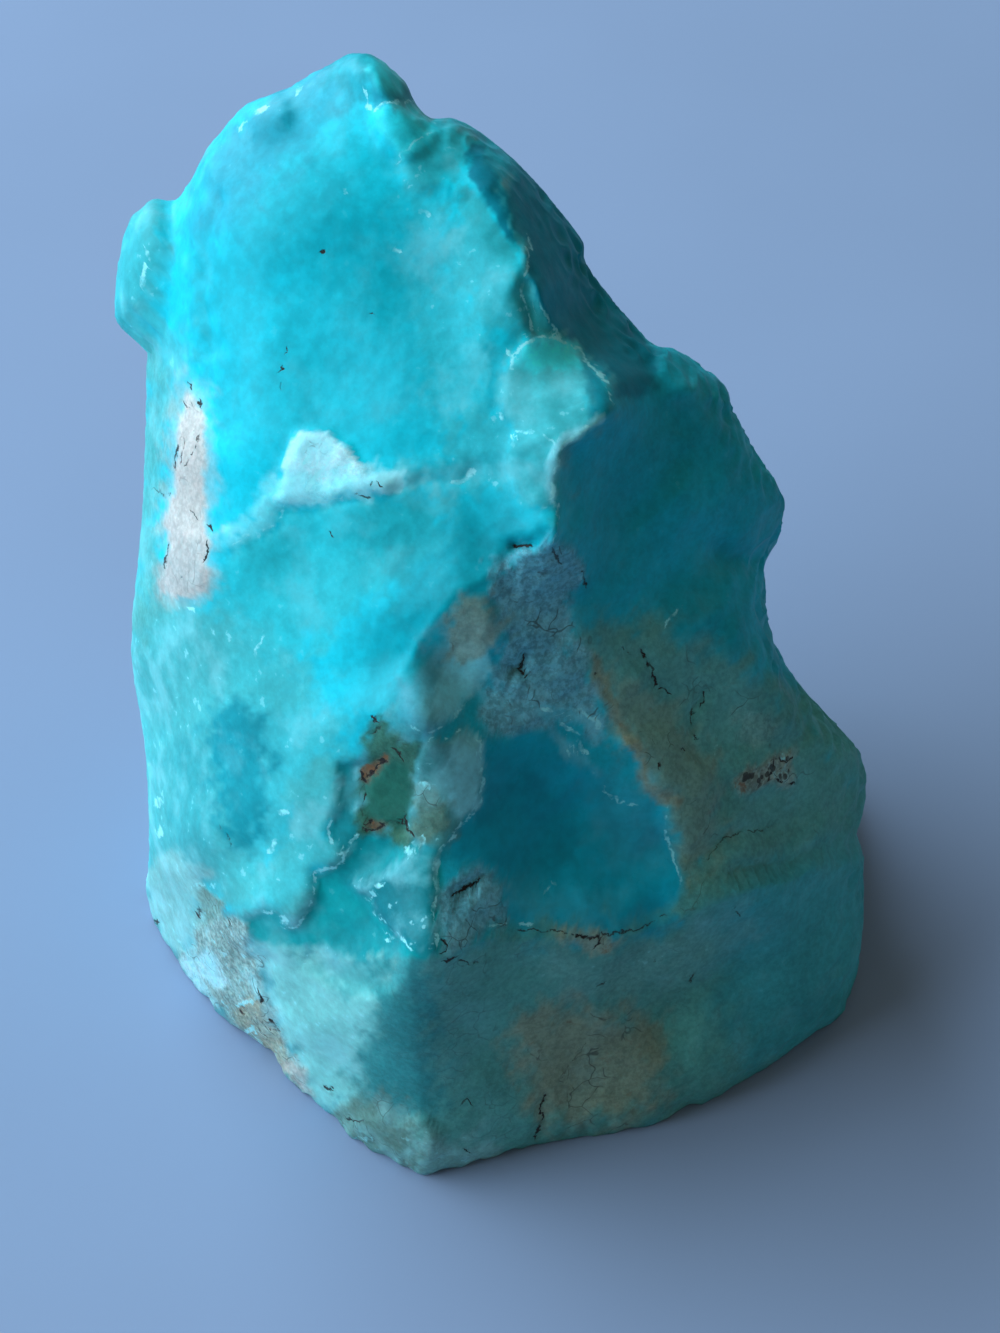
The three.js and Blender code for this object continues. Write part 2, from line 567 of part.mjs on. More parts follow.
function roughStone() {
  const ball = new THREE.IcosahedronGeometry(1, FACET_LEVEL);
  ball.deleteAttribute('normal');
  ball.deleteAttribute('uv');
  const geometry = mergeVertices(ball, 1e-5);
  const position = geometry.getAttribute('position');
  const direction = new THREE.Vector3();
  for (let i = 0; i < position.count; i += 1) {
    direction.fromBufferAttribute(position, i).normalize();
    const place = surfacePlace(direction);
    position.setXYZ(i, place.x, place.y, place.z);
  }
  return geometry;
}

// ---------- joining and cutting ----------
const wasm = await Module();
wasm.setup();

function toManifold(geometry) {
  return new wasm.Manifold(new wasm.Mesh({
    numProp: 3,
    vertProperties: new Float32Array(geometry.getAttribute('position').array),
    triVerts: new Uint32Array(geometry.getIndex().array),
  }));
}

function toGeometry(solid) {
  const mesh = solid.getMesh();
  const geometry = new THREE.BufferGeometry();
  geometry.setAttribute('position', new THREE.BufferAttribute(mesh.vertProperties, 3));
  geometry.setIndex(new THREE.BufferAttribute(mesh.triVerts, 1));
  return geometry;
}

// A block as big as the table under the stone, with its top face at height 0.
function tableBlock() {
  const size = 200;
  const block = new THREE.BoxGeometry(size, size, 40);
  block.translate(0, 0, -20);
  block.deleteAttribute('normal');
  block.deleteAttribute('uv');
  return mergeVertices(block);
}

const stone = toManifold(roughStone()).subtract(toManifold(tableBlock()));
const stoneGeometry = toGeometry(stone);
stoneGeometry.computeBoundingBox();
const middle = stoneGeometry.boundingBox.getCenter(new THREE.Vector3());
stoneGeometry.translate(-middle.x, -middle.y, 0);
stoneGeometry.computeVertexNormals();

const stoneMaterial = new THREE.MeshStandardMaterial({ color: 0x2fa9b8, roughness: 0.55, metalness: 0 });
const stoneMesh = new THREE.Mesh(stoneGeometry, stoneMaterial);
stoneMesh.name = 'hemimorphite_stone';

const group = new THREE.Group();
group.add(stoneMesh);

export default group;
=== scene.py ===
"""Hemimorphite specimen: one natural stone with a blue-green crust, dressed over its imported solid.

The stone's shape is laid out on a drawing sheet that leans back 45 degrees, so that it faces a
viewer who looks down at the stone from the front. A place on the sheet is (across, up) in
millimetres, and a surface is given by how near it comes to the viewer, measured square to the
sheet. Shapes are worked out in millimetres and turned into metres when a mesh is written.
"""
import logging
import math
from dataclasses import dataclass, field
from enum import Enum
from functools import cached_property

import bpy
import numpy as np
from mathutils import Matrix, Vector


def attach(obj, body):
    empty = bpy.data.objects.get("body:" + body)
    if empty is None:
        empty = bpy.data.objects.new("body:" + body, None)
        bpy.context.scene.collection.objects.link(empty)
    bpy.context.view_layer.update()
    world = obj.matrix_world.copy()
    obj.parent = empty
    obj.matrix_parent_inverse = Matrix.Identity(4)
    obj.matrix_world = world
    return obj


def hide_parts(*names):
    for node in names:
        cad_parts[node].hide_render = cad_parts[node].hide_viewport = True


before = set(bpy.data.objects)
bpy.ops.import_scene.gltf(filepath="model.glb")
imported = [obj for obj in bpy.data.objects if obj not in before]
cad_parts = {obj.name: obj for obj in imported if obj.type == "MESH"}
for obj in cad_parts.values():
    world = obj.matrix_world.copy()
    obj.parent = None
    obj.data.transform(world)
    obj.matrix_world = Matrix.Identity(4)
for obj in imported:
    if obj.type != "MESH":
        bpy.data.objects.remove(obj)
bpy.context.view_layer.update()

MM = 0.001
NODE_NAME = "hemimorphite_stone"
BODY_NAME = "root"
PIECE_NAME = "dressed_stone"

Array = np.ndarray
Point = tuple[float, float]
Line = tuple[Point, ...]
Span = tuple[float, float]
Triple = tuple[float, float, float]
Colour = Triple
Socket = bpy.types.NodeSocket
Source = Socket | float | Colour

log = logging.getLogger("stone")


# ---------------------------------------------------------------- plain helpers
def smooth_rise(start: float, end: float, value: Array) -> Array:
    """Rise smoothly from 0 at start to 1 at end.

    Args:
        start: Value where the result is 0.
        end: Value where the result is 1; it may be below start.
        value: Values to look up.

    Returns:
        The cubic 3t^2 - 2t^3 of the clipped fraction t between start and end.
    """
    t = np.clip((value - start) / (end - start), 0.0, 1.0)
    return t * t * (3.0 - 2.0 * t)


def blend_max(a: Array, b: Array, width: float) -> Array:
    """Take the larger of two fields, with the corner between them rounded.

    Args:
        a: First field.
        b: Second field.
        width: Difference between the two below which they blend.

    Returns:
        The larger value, plus a quarter of the squared overlap over the width.
    """
    overlap = np.maximum(width - np.abs(a - b), 0.0)
    return np.maximum(a, b) + overlap**2 / (4.0 * width)


@dataclass(frozen=True)
class RollingNoise:
    """Smooth blobby noise of about -1 to 1: five slanting sine waves that bend one another.

    Attributes:
        length: Wave length in millimetres.
        seed: Shift of the pattern.
    """

    length: float
    seed: float = 0.0

    ACROSS = np.array([
        [0.8, 0.5, 0.33], [-0.45, 0.83, 0.32], [0.25, -0.41, 0.88],
        [-0.7, -0.3, 0.65], [0.6, -0.72, -0.35],
    ])
    BEND = np.array([
        [0.1, 0.9, -0.42], [0.77, -0.2, 0.6], [-0.9, 0.3, 0.3],
        [0.2, 0.65, 0.73], [-0.5, -0.5, 0.7],
    ])
    # how fine and how strong the bending is, and what brings the sum of waves to about -1 to 1
    BEND_PITCH = 0.83
    BEND_SHARE = 1.1
    FULL_SWING = 2.6

    def at(self, places: Array) -> Array:
        """Evaluate the noise.

        Args:
            places: Places in millimetres, one row each.

        Returns:
            One value per place: the sum of sin(k.p + share * sin(pitch * k'.p)) over the waves,
            each wave started at its own phase.
        """
        turns = 2.0 * math.pi / self.length
        number = np.arange(len(self.ACROSS))
        start = 1.7 * number
        bend = np.sin(self.BEND_PITCH * turns * places @ self.BEND.T + 2.1 * number + self.seed)
        phase = turns * places @ self.ACROSS.T + self.BEND_SHARE * bend + start + 1.3 * self.seed
        return np.sin(phase).sum(axis=1) / self.FULL_SWING


# ---------------------------------------------------------------- curves on the sheet
# Straight steps between two points of an open and of a closed curve, and the squared distance
# from a curve's end within which a place belongs to that end.
OPEN_STEPS = 4
CLOSED_STEPS = 3
END_ZONE = 1.4


def curve_through(points: Line, closed: bool) -> Array:
    """Draw a smooth Catmull-Rom curve through points of the sheet.

    Args:
        points: Places on the sheet.
        closed: Whether the curve returns to its first point.

    Returns:
        The curve's points, one row each, with a few straight steps between two points given;
        a closed curve repeats its first point at the end.
    """
    p = np.array(points, dtype=float)
    steps = CLOSED_STEPS if closed else OPEN_STEPS
    if closed:
        before, start, end, after = np.roll(p, 1, 0), p, np.roll(p, -1, 0), np.roll(p, -2, 0)
    else:
        longer = np.vstack([2 * p[0] - p[1], p, 2 * p[-1] - p[-2]])
        before, start, end, after = longer[:-3], longer[1:-2], longer[2:-1], longer[3:]
    t = (np.arange(steps) / steps)[:, None, None]
    body = 0.5 * (
        2 * start
        + (end - before) * t
        + (2 * before - 5 * start + 4 * end - after) * t**2
        + (3 * start - before - 3 * end + after) * t**3
    )
    last = p[:1] if closed else p[-1:]
    return np.vstack([body.transpose(1, 0, 2).reshape(-1, 2), last])


def curve_distance(places: Array, curve: Array) -> tuple[Array, Array]:
    """Measure how far places are from a curve, and on which side of it.

    Args:
        places: Places on the sheet, one row each.
        curve: The curve's points.

    Returns:
        The distance to the nearest step, and +1 or -1 for the side of that step.
    """
    best = np.full(len(places), np.inf)
    side = np.ones(len(places))
    for a, b in zip(curve[:-1], curve[1:]):
        step = b - a
        offset = places - a
        t = np.clip(offset @ step / max(step @ step, 1e-9), 0.0, 1.0)
        gap = ((offset - t[:, None] * step) ** 2).sum(axis=1)
        nearer = gap < best
        best = np.where(nearer, gap, best)
        turn = step[0] * offset[:, 1] - step[1] * offset[:, 0]
        side = np.where(nearer, np.where(turn < 0, -1.0, 1.0), side)
    return np.sqrt(best), side


def past_ends(places: Array, curve: Array) -> Array:
    """Measure how far places lie beyond an open curve's ends.

    Args:
        places: Places on the sheet, one row each.
        curve: The curve's points.

    Returns:
        The distance past the nearer end along the curve's course there, 0 beside the curve
        and where the squared distance to the end is above END_ZONE.
    """
    past = np.zeros(len(places))
    for end, inner in ((curve[0], curve[1]), (curve[-1], curve[-2])):
        offset = places - end
        beyond = offset @ (end - inner) / math.dist(end, inner)
        close = (offset**2).sum(axis=1) < END_ZONE
        past = np.maximum(past, np.where(close, beyond, 0.0))
    return past


def signed_distance(places: Array, curve: Array) -> Array:
    """Measure the distance to a closed curve, negative inside it.

    Args:
        places: Places on the sheet, one row each.
        curve: The closed curve's points.

    Returns:
        One distance per place; inside is decided by counting the curve's crossings.
    """
    distance, _ = curve_distance(places, curve)
    inside = np.zeros(len(places), dtype=bool)
    x, y = places[:, 0], places[:, 1]
    for a, b in zip(curve[:-1], curve[1:]):
        if a[1] != b[1]:
            crosses = (a[1] > y) != (b[1] > y)
            inside ^= crosses & (x < (b[0] - a[0]) * (y - a[1]) / (b[1] - a[1]) + a[0])
    return np.where(inside, -distance, distance)


def near_curve(places: Array, curve: Array, margin: float) -> Array:
    """Pick the places inside a curve's box, widened by a margin.

    Args:
        places: Places on the sheet, one row each.
        curve: The curve's points.
        margin: Widening of the box in millimetres.

    Returns:
        True for the places that the curve can reach.
    """
    low, high = curve.min(axis=0) - margin, curve.max(axis=0) + margin
    return ((places > low) & (places < high)).all(axis=1)


# ---------------------------------------------------------------- features of the relief
@dataclass(frozen=True)
class Stroke:
    """A feature of the relief that follows a line and fades out on both sides of it.

    Attributes:
        size: Height of a crest, or depth of a crease.
        reach: Distance over which it fades out.
        ragged: How far it follows the noise that makes edges wander.
        line: Its course on the sheet.
    """

    size: float
    reach: float
    ragged: float
    line: Line

    # distance to which it is worked out, as a share of the reach
    SPAN = 1.0

    def rise(self, places: Array) -> Array:
        """Work out the height that the feature adds.

        Args:
            places: Places on the sheet, one row each.

        Returns:
            The height of its cross-section at each place, and 0 far from its line.
        """
        curve = curve_through(self.line, False)
        out = np.zeros(len(places))
        near = near_curve(places, curve, self.SPAN * self.reach)
        distance, _ = curve_distance(places[near], curve)
        out[near] = self.section(distance / self.reach)
        return out

    def section(self, share: Array) -> Array:
        """Return the height at distances that are these shares of the reach."""
        raise NotImplementedError


class Crest(Stroke):
    """A sharp edge that stands proud of the relief."""

    def section(self, share: Array) -> Array:
        """Return size * (1 - share)^2, and nothing beyond the reach."""
        return self.size * np.clip(1 - share, 0, 1) ** 2


class Crease(Stroke):
    """A groove."""

    SPAN = 3.0

    def section(self, share: Array) -> Array:
        """Return -size * exp(-share^2)."""
        return -self.size * np.exp(-(share**2))


@dataclass(frozen=True)
class Scoop:
    """A shallow round hollow where a chip has broken away.

    Attributes:
        depth: Depth in the middle.
        reach: Radius of the rim.
        at: Middle of the hollow on the sheet.
        ragged: How far the rim follows the noise that makes edges wander.
    """

    depth: float
    reach: float
    at: Point
    ragged: float = 0.0

    def rise(self, places: Array) -> Array:
        """Return -depth * (1 - (distance / reach)^2)^2, and nothing beyond the rim."""
        gap = ((places - np.array(self.at)) ** 2).sum(axis=1) / self.reach**2
        return -self.depth * np.maximum(1 - gap, 0) ** 2


@dataclass(frozen=True)
class Ledge:
    """A patch raised above its surroundings, or sunk where its height is negative.

    Attributes:
        height: Height of the patch.
        wall: Width of its wall.
        dome: Distance from the edge at which a rounded top is full height; 0 for a flat top.
        ragged: How far the edge follows the noise that makes edges wander.
        edge: The patch's outline on the sheet.
    """

    height: float
    wall: float
    dome: float
    ragged: float
    edge: Line

    # shares of the height that a dome has at its foot and gains up to its top
    DOME_FOOT = 0.55
    DOME_TOP = 0.45

    def rise(self, places: Array) -> Array:
        """Work out the height that the ledge adds.

        Args:
            places: Places on the sheet, one row each.

        Returns:
            The height times a smooth wall, and a quarter-circle dome inside it.
        """
        curve = curve_through(self.edge, True)
        out = np.zeros(len(places))
        near = near_curve(places, curve, self.wall)
        distance = signed_distance(places[near], curve)
        rise = smooth_rise(self.wall, -self.wall, distance)
        if self.dome:
            inward = np.clip(-distance / self.dome, 0, 1)
            rise = rise * (self.DOME_FOOT + self.DOME_TOP * np.sqrt(1 - (1 - inward) ** 2))
        out[near] = self.height * rise
        return out


# ---------------------------------------------------------------- where everything is
OUTLINE: Line = (
    (-12.1, 51.5), (-10.5, 51), (-9, 49.8), (-7.8, 48.5), (-7.1, 46.9), (-5.7, 45.6), (-3.1, 45.4),
    (1.7, 41.7), (6.5, 35.7), (6.7, 34.5), (7.7, 32.5), (12.2, 27), (14.3, 26.4), (16.7, 25),
    (18.6, 23.3), (19.3, 21.2), (21.4, 17.4), (22.9, 15.4), (23.6, 13.5), (23.2, 11.2), (22.2, 9.5),
    (21.8, 7.9), (22.7, 2.2), (25.5, -2.4), (29.2, -6.2), (30.2, -8.5), (30.5, -10.7),
    (29.5, -14.3), (30.2, -15.8), (30.1, -23.2), (28.8, -28), (27.7, -29.6), (18, -36),
    (15.8, -36.4), (13.5, -38), (10, -39), (2.9, -39.9), (-5.5, -42.6), (-8, -42), (-12.9, -39.5),
    (-14.5, -37.4), (-17.7, -34.7), (-18.8, -32.2), (-23.2, -29.3), (-25.3, -27.3), (-27, -24.9),
    (-29.7, -19.7), (-30, -17.8), (-29.2, -16), (-29.6, -6.1), (-30.8, 1.4), (-29.8, 12.2),
    (-29.4, 26.4), (-29.8, 27.3), (-31, 27.5), (-32.1, 28.8), (-32.3, 30.5), (-31.3, 36.4),
    (-30.2, 38.2), (-28.7, 39.2), (-26.7, 39.3), (-24.2, 43.8), (-22.3, 46.5), (-21.1, 47.5),
    (-19.2, 48), (-14.3, 50.8),
)

SURFACE: dict[str, tuple[tuple[float, float, float], ...]] = {
    "base edge": (
        (-5.8, -41.8, 1.5), (-25, -26.5, -11), (-16.7, -34.9, -3.5), (-29.2, -19, -16),
        (3.3, -39.3, 1), (15.8, -36, -1), (25, -31, -5), (29, -27.8, -7), (30.2, -19.5, -5),
        (30.5, -10.7, -3),
    ),
    "lower band": (
        (-5, -23.8, 18.5), (-5.8, -32, 11), (-9.2, -27.8, 14.5), (-16.7, -23.6, 9),
        (-16.7, -31.1, 2), (-20.8, -27.8, -2), (8.3, -23.2, 11.5), (8.3, -32, 4.5),
        (0, -23.2, 15.5), (0, -32, 8.5), (16.7, -20.3, 8.5), (16.7, -27.8, 2.5), (25, -15.3, 3),
        (26.7, -24.5, -3), (21.7, -19.5, 5.5),
    ),
    "dark face": (
        (-4.6, -2, 21.8), (-1.7, 2.2, 23), (3.8, -12, 17), (-1.8, -10.3, 20.5), (13.8, -11.1, 13),
        (7.5, -19.5, 14), (1.7, 2.2, 22.5), (8.3, -4.5, 17), (0, -4.5, 20), (10, -16.1, 13),
        (16.7, -7, 12), (23.3, -9.5, 6), (28.3, -10.3, 0), (11.7, 1.4, 17), (20, 1.4, 11.5),
        (22.9, 4.7, 7.5), (26.7, -5.3, 3.5), (5, 3.9, 21.5), (10, 12.2, 20.5), (16.7, 13.9, 17),
        (23, 13.9, 10), (22.1, 8.9, 9), (12.5, 20.5, 20.5), (18.5, 22.2, 15), (9.3, 26.8, 20.5),
        (11.8, 27.6, 18),
    ),
    "tip": (
        (5.8, 30.1, 22), (6.8, 34.7, 18.8), (3.3, 31.4, 26.3), (0, 38.9, 25), (4.3, 38.2, 20),
        (-1, 43.7, 21.5), (-5.8, 44.7, 23.5), (-8.8, 46.2, 24), (-12.1, 50.5, 22.5),
        (-16.7, 48.5, 20.5), (-12.5, 45.5, 23.5), (-20.8, 46.8, 18.5),
    ),
    "bright slab": (
        (-16.7, 40.5, 23), (-25, 41.8, 16.5), (-22.9, 37.2, 20), (-8.3, 37.2, 25.3),
        (-16.7, 30.5, 22.5), (-24, 28, 18), (-27.9, 30.5, 13.5), (-26.2, 38.9, 15.5),
        (-29.2, 22.2, 8.5), (-24.6, 18, 16.5), (-25.8, 8.9, 13), (-29.8, 13.9, 5.5),
        (-30.3, 7.2, 4), (-16.7, 20.5, 22.5), (-8.3, 23.9, 25.2), (-1.7, 23.9, 26.8),
        (-3.3, 31.4, 26), (4.6, 23.5, 27.2), (8.8, 22.2, 26.3), (4.3, 16.4, 27.5), (4.2, 10.5, 26),
        (-1.7, 15.5, 26), (-9.2, 15.5, 24.5), (-16.7, 12.2, 20.5), (-20.8, 5.5, 16.5),
    ),
    "left flank": (
        (-30.6, 1.4, 1), (-25.4, 1.4, 10.5), (-12.5, 5.5, 22), (-5.8, 5.5, 24.2), (0, 8.9, 25.3),
        (-8.3, -2, 22.5), (-12.5, -2.8, 20.5), (-5.8, -2.8, 23.5), (-16.7, -2.8, 17.5),
        (-20.8, -7, 13.5), (-26.7, -7, 4.5), (-29.5, -6.1, -2), (-30.8, 34.7, 11),
        (-31.2, 29.7, 9.5),
    ),
    "lower flakes": (
        (-14.2, -11.1, 17.5), (-20.8, -15.3, 10), (-26.7, -15.3, 1), (-29.2, -14.5, -7),
        (-16.7, -19.5, 12.5), (-23.3, -19.5, 3.5), (-21.7, -22.8, 3.5), (-9.2, -10.3, 19.5),
        (-4.2, -10.3, 21.5), (-6.7, -19.5, 19.5), (-10.8, -19.5, 16.5), (-13.3, -23.6, 12.5),
        (-9.6, -24, 16),
    ),
}

CRESTS = (
    # between the bright slab and the dark face, from the tip down to the round knob
    Crest(1.5, 4.6, 0.4, (
        (-10.7, 50.5), (-8.3, 46), (-5, 45.4), (-2, 43.7), (0.2, 39.9), (1.8, 35.7), (3, 31.7),
        (4.3, 28.7),
    )),
    # round the knob's right side
    Crest(0.7, 4.0, 0.2, ((5.2, 27.7), (7.7, 25.9), (9.2, 23.5), (9.4, 21.9))),
    # from the knob down the ledge
    Crest(1.7, 6.0, 0.4, ((8.8, 21.2), (6.8, 19.2), (5.2, 18), (4.8, 13.9), (4.3, 10.1))),
    # the soft turn across the middle
    Crest(0.8, 5.0, 0.4, (
        (4.2, 10.5), (0, 7.9), (-3.8, 6), (-6.8, 2.2), (-8.7, -2), (-10.7, -3.8),
    )),
    # top edge of the lower band
    Crest(2.0, 6.5, 0.5, (
        (-21, -22.1), (-16.7, -23.6), (-10, -24.3), (-5, -24), (0, -22.6), (7.5, -22.6),
        (12.5, -21.6), (17.1, -20), (23.3, -17.8), (30.2, -15),
    )),
    # rounded upright edge at the front of the lower band
    Crest(0.6, 9.0, 0.4, ((-7.7, -24.3), (-7.3, -28.6), (-6.7, -34.5), (-5.8, -41.8))),
    # left edge of the bright slab
    Crest(1.0, 4.0, 0.4, (
        (-24.6, 41.5), (-25.8, 36.4), (-26.5, 30.5), (-26.8, 24.5), (-27.7, 18.9), (-28.5, 13.9),
    )),
    # shoulder at the upper right
    Crest(1.2, 5.0, 0.4, ((12.9, 26.4), (15.8, 22.2), (19.2, 18.9), (23, 14.5))),
    # right flank below the notch
    Crest(1.2, 5.0, 0.4, ((21.8, 8.9), (20, 2.2), (24.2, -2.8), (28.8, -7.8))),
    # rim round the knob
    Crest(0.18, 1.0, 0.3, (
        (2.3, 27.1), (3.8, 27.4), (5.3, 27.1), (6.7, 26.3), (7.8, 25.2), (8.7, 23.9), (9.4, 22),
    )),
    # crisp lip of the knob and of the ledge below it
    Crest(0.9, 1.5, 0.2, (
        (9.7, 21.5), (8.7, 20.7), (7.5, 19.8), (6.2, 18.8), (5.2, 17.9), (5.1, 16), (5, 13.9),
        (4.8, 12), (4.5, 10.4),
    )),
    # lip of the step across the slab
    Crest(0.14, 2.2, 0.6, (
        (-22.7, 10.7), (-19.2, 13.9), (-14.2, 14.7), (-10.7, 15.5), (-8.3, 16.2), (-1.7, 17.5),
        (3.8, 19),
    )),
)

LEDGES = (
    # sugary shelf on the bright slab
    Ledge(0.5, 0.6, 0, 0.4, (
        (-18.4, 14.5), (-18.2, 16.4), (-17.9, 17.6), (-17.3, 18.9), (-16.5, 19.6), (-15.3, 19.5),
        (-13.8, 19), (-12.8, 18.3), (-12.3, 17.5), (-11.5, 16.4), (-10.2, 16.2), (-9, 15.5),
        (-9.2, 14.5), (-10.7, 14.2), (-12.1, 14.4), (-13.5, 14.2), (-14.8, 14), (-16.7, 13.8),
        (-17.8, 13.5),
    )),
    # hollow under the jagged lower end of the bright slab
    Ledge(-1.1, 0.8, 0, 0.25, (
        (-13.2, -16.3), (-14.6, -17), (-15.6, -17.2), (-15.4, -18.9), (-16.2, -20.3),
        (-16.9, -21.5), (-17.7, -21.5), (-18.5, -20.6), (-19.8, -20.5), (-21, -21.1),
        (-20.5, -22.3), (-18.3, -23.6), (-15.8, -25.1), (-13.3, -26.5), (-10.7, -27), (-8.8, -26.3),
        (-8.2, -24.9), (-8.3, -23.1), (-9.6, -21.4), (-11.2, -19.5), (-12.1, -18.1), (-10.3, -17.3),
        (-8.8, -16), (-8.3, -14.6), (-10, -14), (-11.3, -13.8),
    )),
    # dark tabs above the hollow
    Ledge(-0.5, 0.45, 0, 0.4, (
        (-13.6, -8.5), (-13.6, -10.3), (-13.2, -11.5), (-13.8, -12.1), (-14.3, -13.2),
        (-14.2, -14.5), (-13.6, -15.3), (-13, -15.7), (-11.9, -14.5), (-11.3, -13.8),
        (-11.8, -12.4), (-11.9, -11.1), (-11.8, -9.9), (-12, -8.6), (-12.8, -8.2),
    )),
    # pale green flake
    Ledge(0.35, 0.3, 0, 0.3, (
        (-5.7, -6.2), (-4.6, -6.1), (-3.4, -5.6), (-2.7, -6.4), (-1.7, -6.2), (-1.8, -7.1),
        (-1.5, -8.2), (-1.6, -9.9), (-1.7, -11), (-2.2, -12), (-3.2, -13.1), (-4.3, -14.7),
        (-5, -15.3), (-6.3, -14.8), (-7.4, -13.8), (-7.6, -12.4), (-6.9, -10.3), (-6.9, -8.2),
        (-6.4, -7.1),
    )),
    # clear flake below it
    Ledge(0.5, 0.5, 0, 0.3, (
        (-12.3, -18), (-10.3, -17.5), (-8.7, -16.3), (-7.2, -15.3), (-4.8, -15.3), (-5.6, -17),
        (-5.2, -19), (-5.5, -21.1), (-5.2, -23.3), (-6.3, -23.7), (-8.2, -23), (-9.6, -21.3),
        (-11.3, -19.4),
    )),
    # grainy patch right of the middle
    Ledge(-0.5, 0.9, 0, 1, (
        (0.4, 10.1), (3.8, 10.5), (6, 8.9), (6.7, 4.7), (5, 0.5), (2.5, -1.1), (0, -0.3),
        (-0.2, 5.5),
    )),
    # round knob on the main crest
    Ledge(0.4, 0.8, 2, 0.2, (
        (1.2, 26.2), (2.3, 27.1), (3.8, 27.4), (5.3, 27.1), (6.7, 26.3), (7.8, 25.2), (8.7, 23.9),
        (9.4, 22), (8.7, 21), (7.3, 19.9), (6, 19), (4.9, 18.1), (3.6, 18.8), (1.7, 19.5),
        (0.5, 20.5), (0, 22.4), (0.2, 24.7),
    )),
    # lobe on the upper right shoulder
    Ledge(0.9, 0.9, 2.5, 0.3, (
        (12.5, 27), (13.6, 25.7), (14.5, 24.2), (15.1, 22.5), (17.1, 22.1), (19.6, 21.7),
        (19.2, 23.2), (17.7, 24.6), (15.8, 25.8), (14, 26.7),
    )),
    # pinkish lobe in the middle
    Ledge(0.35, 0.8, 2.5, 0.4, (
        (-7.8, 1), (-5.8, 3.9), (-4, 5.4), (-1.8, 5.7), (0, 5), (0.2, 3.4), (-0.7, 1), (-1.7, -1.5),
        (-2.8, -3.1), (-4, -4.4), (-5.3, -5.5), (-6.7, -5.3), (-7.9, -3.6),
    )),
    # weathered strip on the left
    Ledge(0.25, 0.35, 0, 0.6, (
        (-26.1, 22.5), (-25.1, 22.1), (-24.4, 20.7), (-24.5, 18), (-24.8, 15.5), (-24.6, 12.6),
        (-24.2, 10.1), (-24.4, 7.6), (-24.8, 6.1), (-25.8, 5.7), (-27.7, 5.8), (-28.1, 7.2),
        (-27.8, 10.1), (-27.6, 13), (-27.3, 15.5), (-27, 18), (-26.6, 20.1),
    )),
    # lobe at the tip
    Ledge(0.7, 1.2, 4, 0.3, (
        (-12.9, 52.2), (-9.6, 51.8), (-7.3, 49.3), (-7, 47.2), (-8.8, 47.7), (-10.7, 48),
        (-12.3, 48.7),
    )),
    # round lobe below the tip
    Ledge(0.6, 0.6, 3, 0.2, (
        (-10.8, 46), (-9.8, 46.7), (-8.7, 47), (-7.5, 46.8), (-6.3, 46.1), (-5, 45.2), (-5.5, 43.4),
        (-7.3, 42.4), (-9.3, 42.9), (-10.5, 44.4),
    )),
    # ear-shaped lobe at the upper left
    Ledge(1.4, 1.4, 5, 0.2, (
        (-33.3, 28), (-32.7, 34.7), (-30.8, 39.2), (-27.8, 39.7), (-27.4, 36), (-27.8, 30.5),
        (-28.3, 26.5), (-31.7, 26.4),
    )),
    # small lobe left of the tip
    Ledge(1.3, 1.1, 4, 0.3, (
        (-21.5, 46.2), (-20.8, 47.9), (-18.5, 48.2), (-17.2, 46.9), (-17.8, 45), (-19.8, 44.4),
        (-21.2, 44.9),
    )),
    # soft lobe right of the tip
    Ledge(0.7, 1.0, 5, 0.3, (
        (-8.4, 41.5), (-8, 43), (-6.7, 43.9), (-5.2, 44.9), (-3.8, 45.5), (-2.3, 45.2), (-0.7, 43),
        (0, 40.1), (-2.5, 39.2), (-5.8, 39.5), (-7.8, 40.2),
    )),
    # small recess above the knob
    Ledge(-0.5, 0.6, 0, 0.4, (
        (2.2, 32.2), (1.8, 30.5), (2.2, 29.4), (2.5, 28.2), (3.2, 27.4), (4.8, 27.5), (4.1, 29),
        (3.2, 30.4), (2.7, 31.8),
    )),
    # lobe under the knob
    Ledge(0.5, 0.6, 3, 0.3, (
        (1.3, 19.6), (3, 19.6), (4.2, 18.9), (4.8, 17.6), (4.8, 15.5), (4.7, 13.5), (2.8, 13.5),
        (1.3, 14.5), (0.7, 16.4), (0.8, 18.5),
    )),
    # pale bulge at the lower left
    Ledge(0.9, 0.8, 4, 0.4, (
        (-26.7, -16.5), (-29.2, -16.1), (-30.3, -17.8), (-30, -21.1), (-28.3, -23.6), (-25.8, -22),
        (-24.6, -19),
    )),
    # sugary front corner of the base
    Ledge(0.9, 0.8, 3, 1, (
        (-12.5, -37.8), (-9.6, -37.1), (-6.2, -38), (-4.6, -41.5), (-6.7, -43.6), (-10, -42.8),
        (-12.5, -40.3),
    )),
    # rusty lobe on the right
    Ledge(0.8, 0.8, 4, 1, (
        (10, -6.5), (12.5, -5.7), (16.7, -7.8), (18, -11.1), (16.7, -15.3), (14.3, -15.3),
        (14, -11.5), (12.5, -9.5),
    )),
    # rusty scar on that lobe
    Ledge(0.5, 0.7, 3, 1, (
        (19.8, -7.4), (22.5, -6.8), (24.8, -8), (24.5, -10.3), (21.7, -10.6), (20, -9.5),
    )),
)

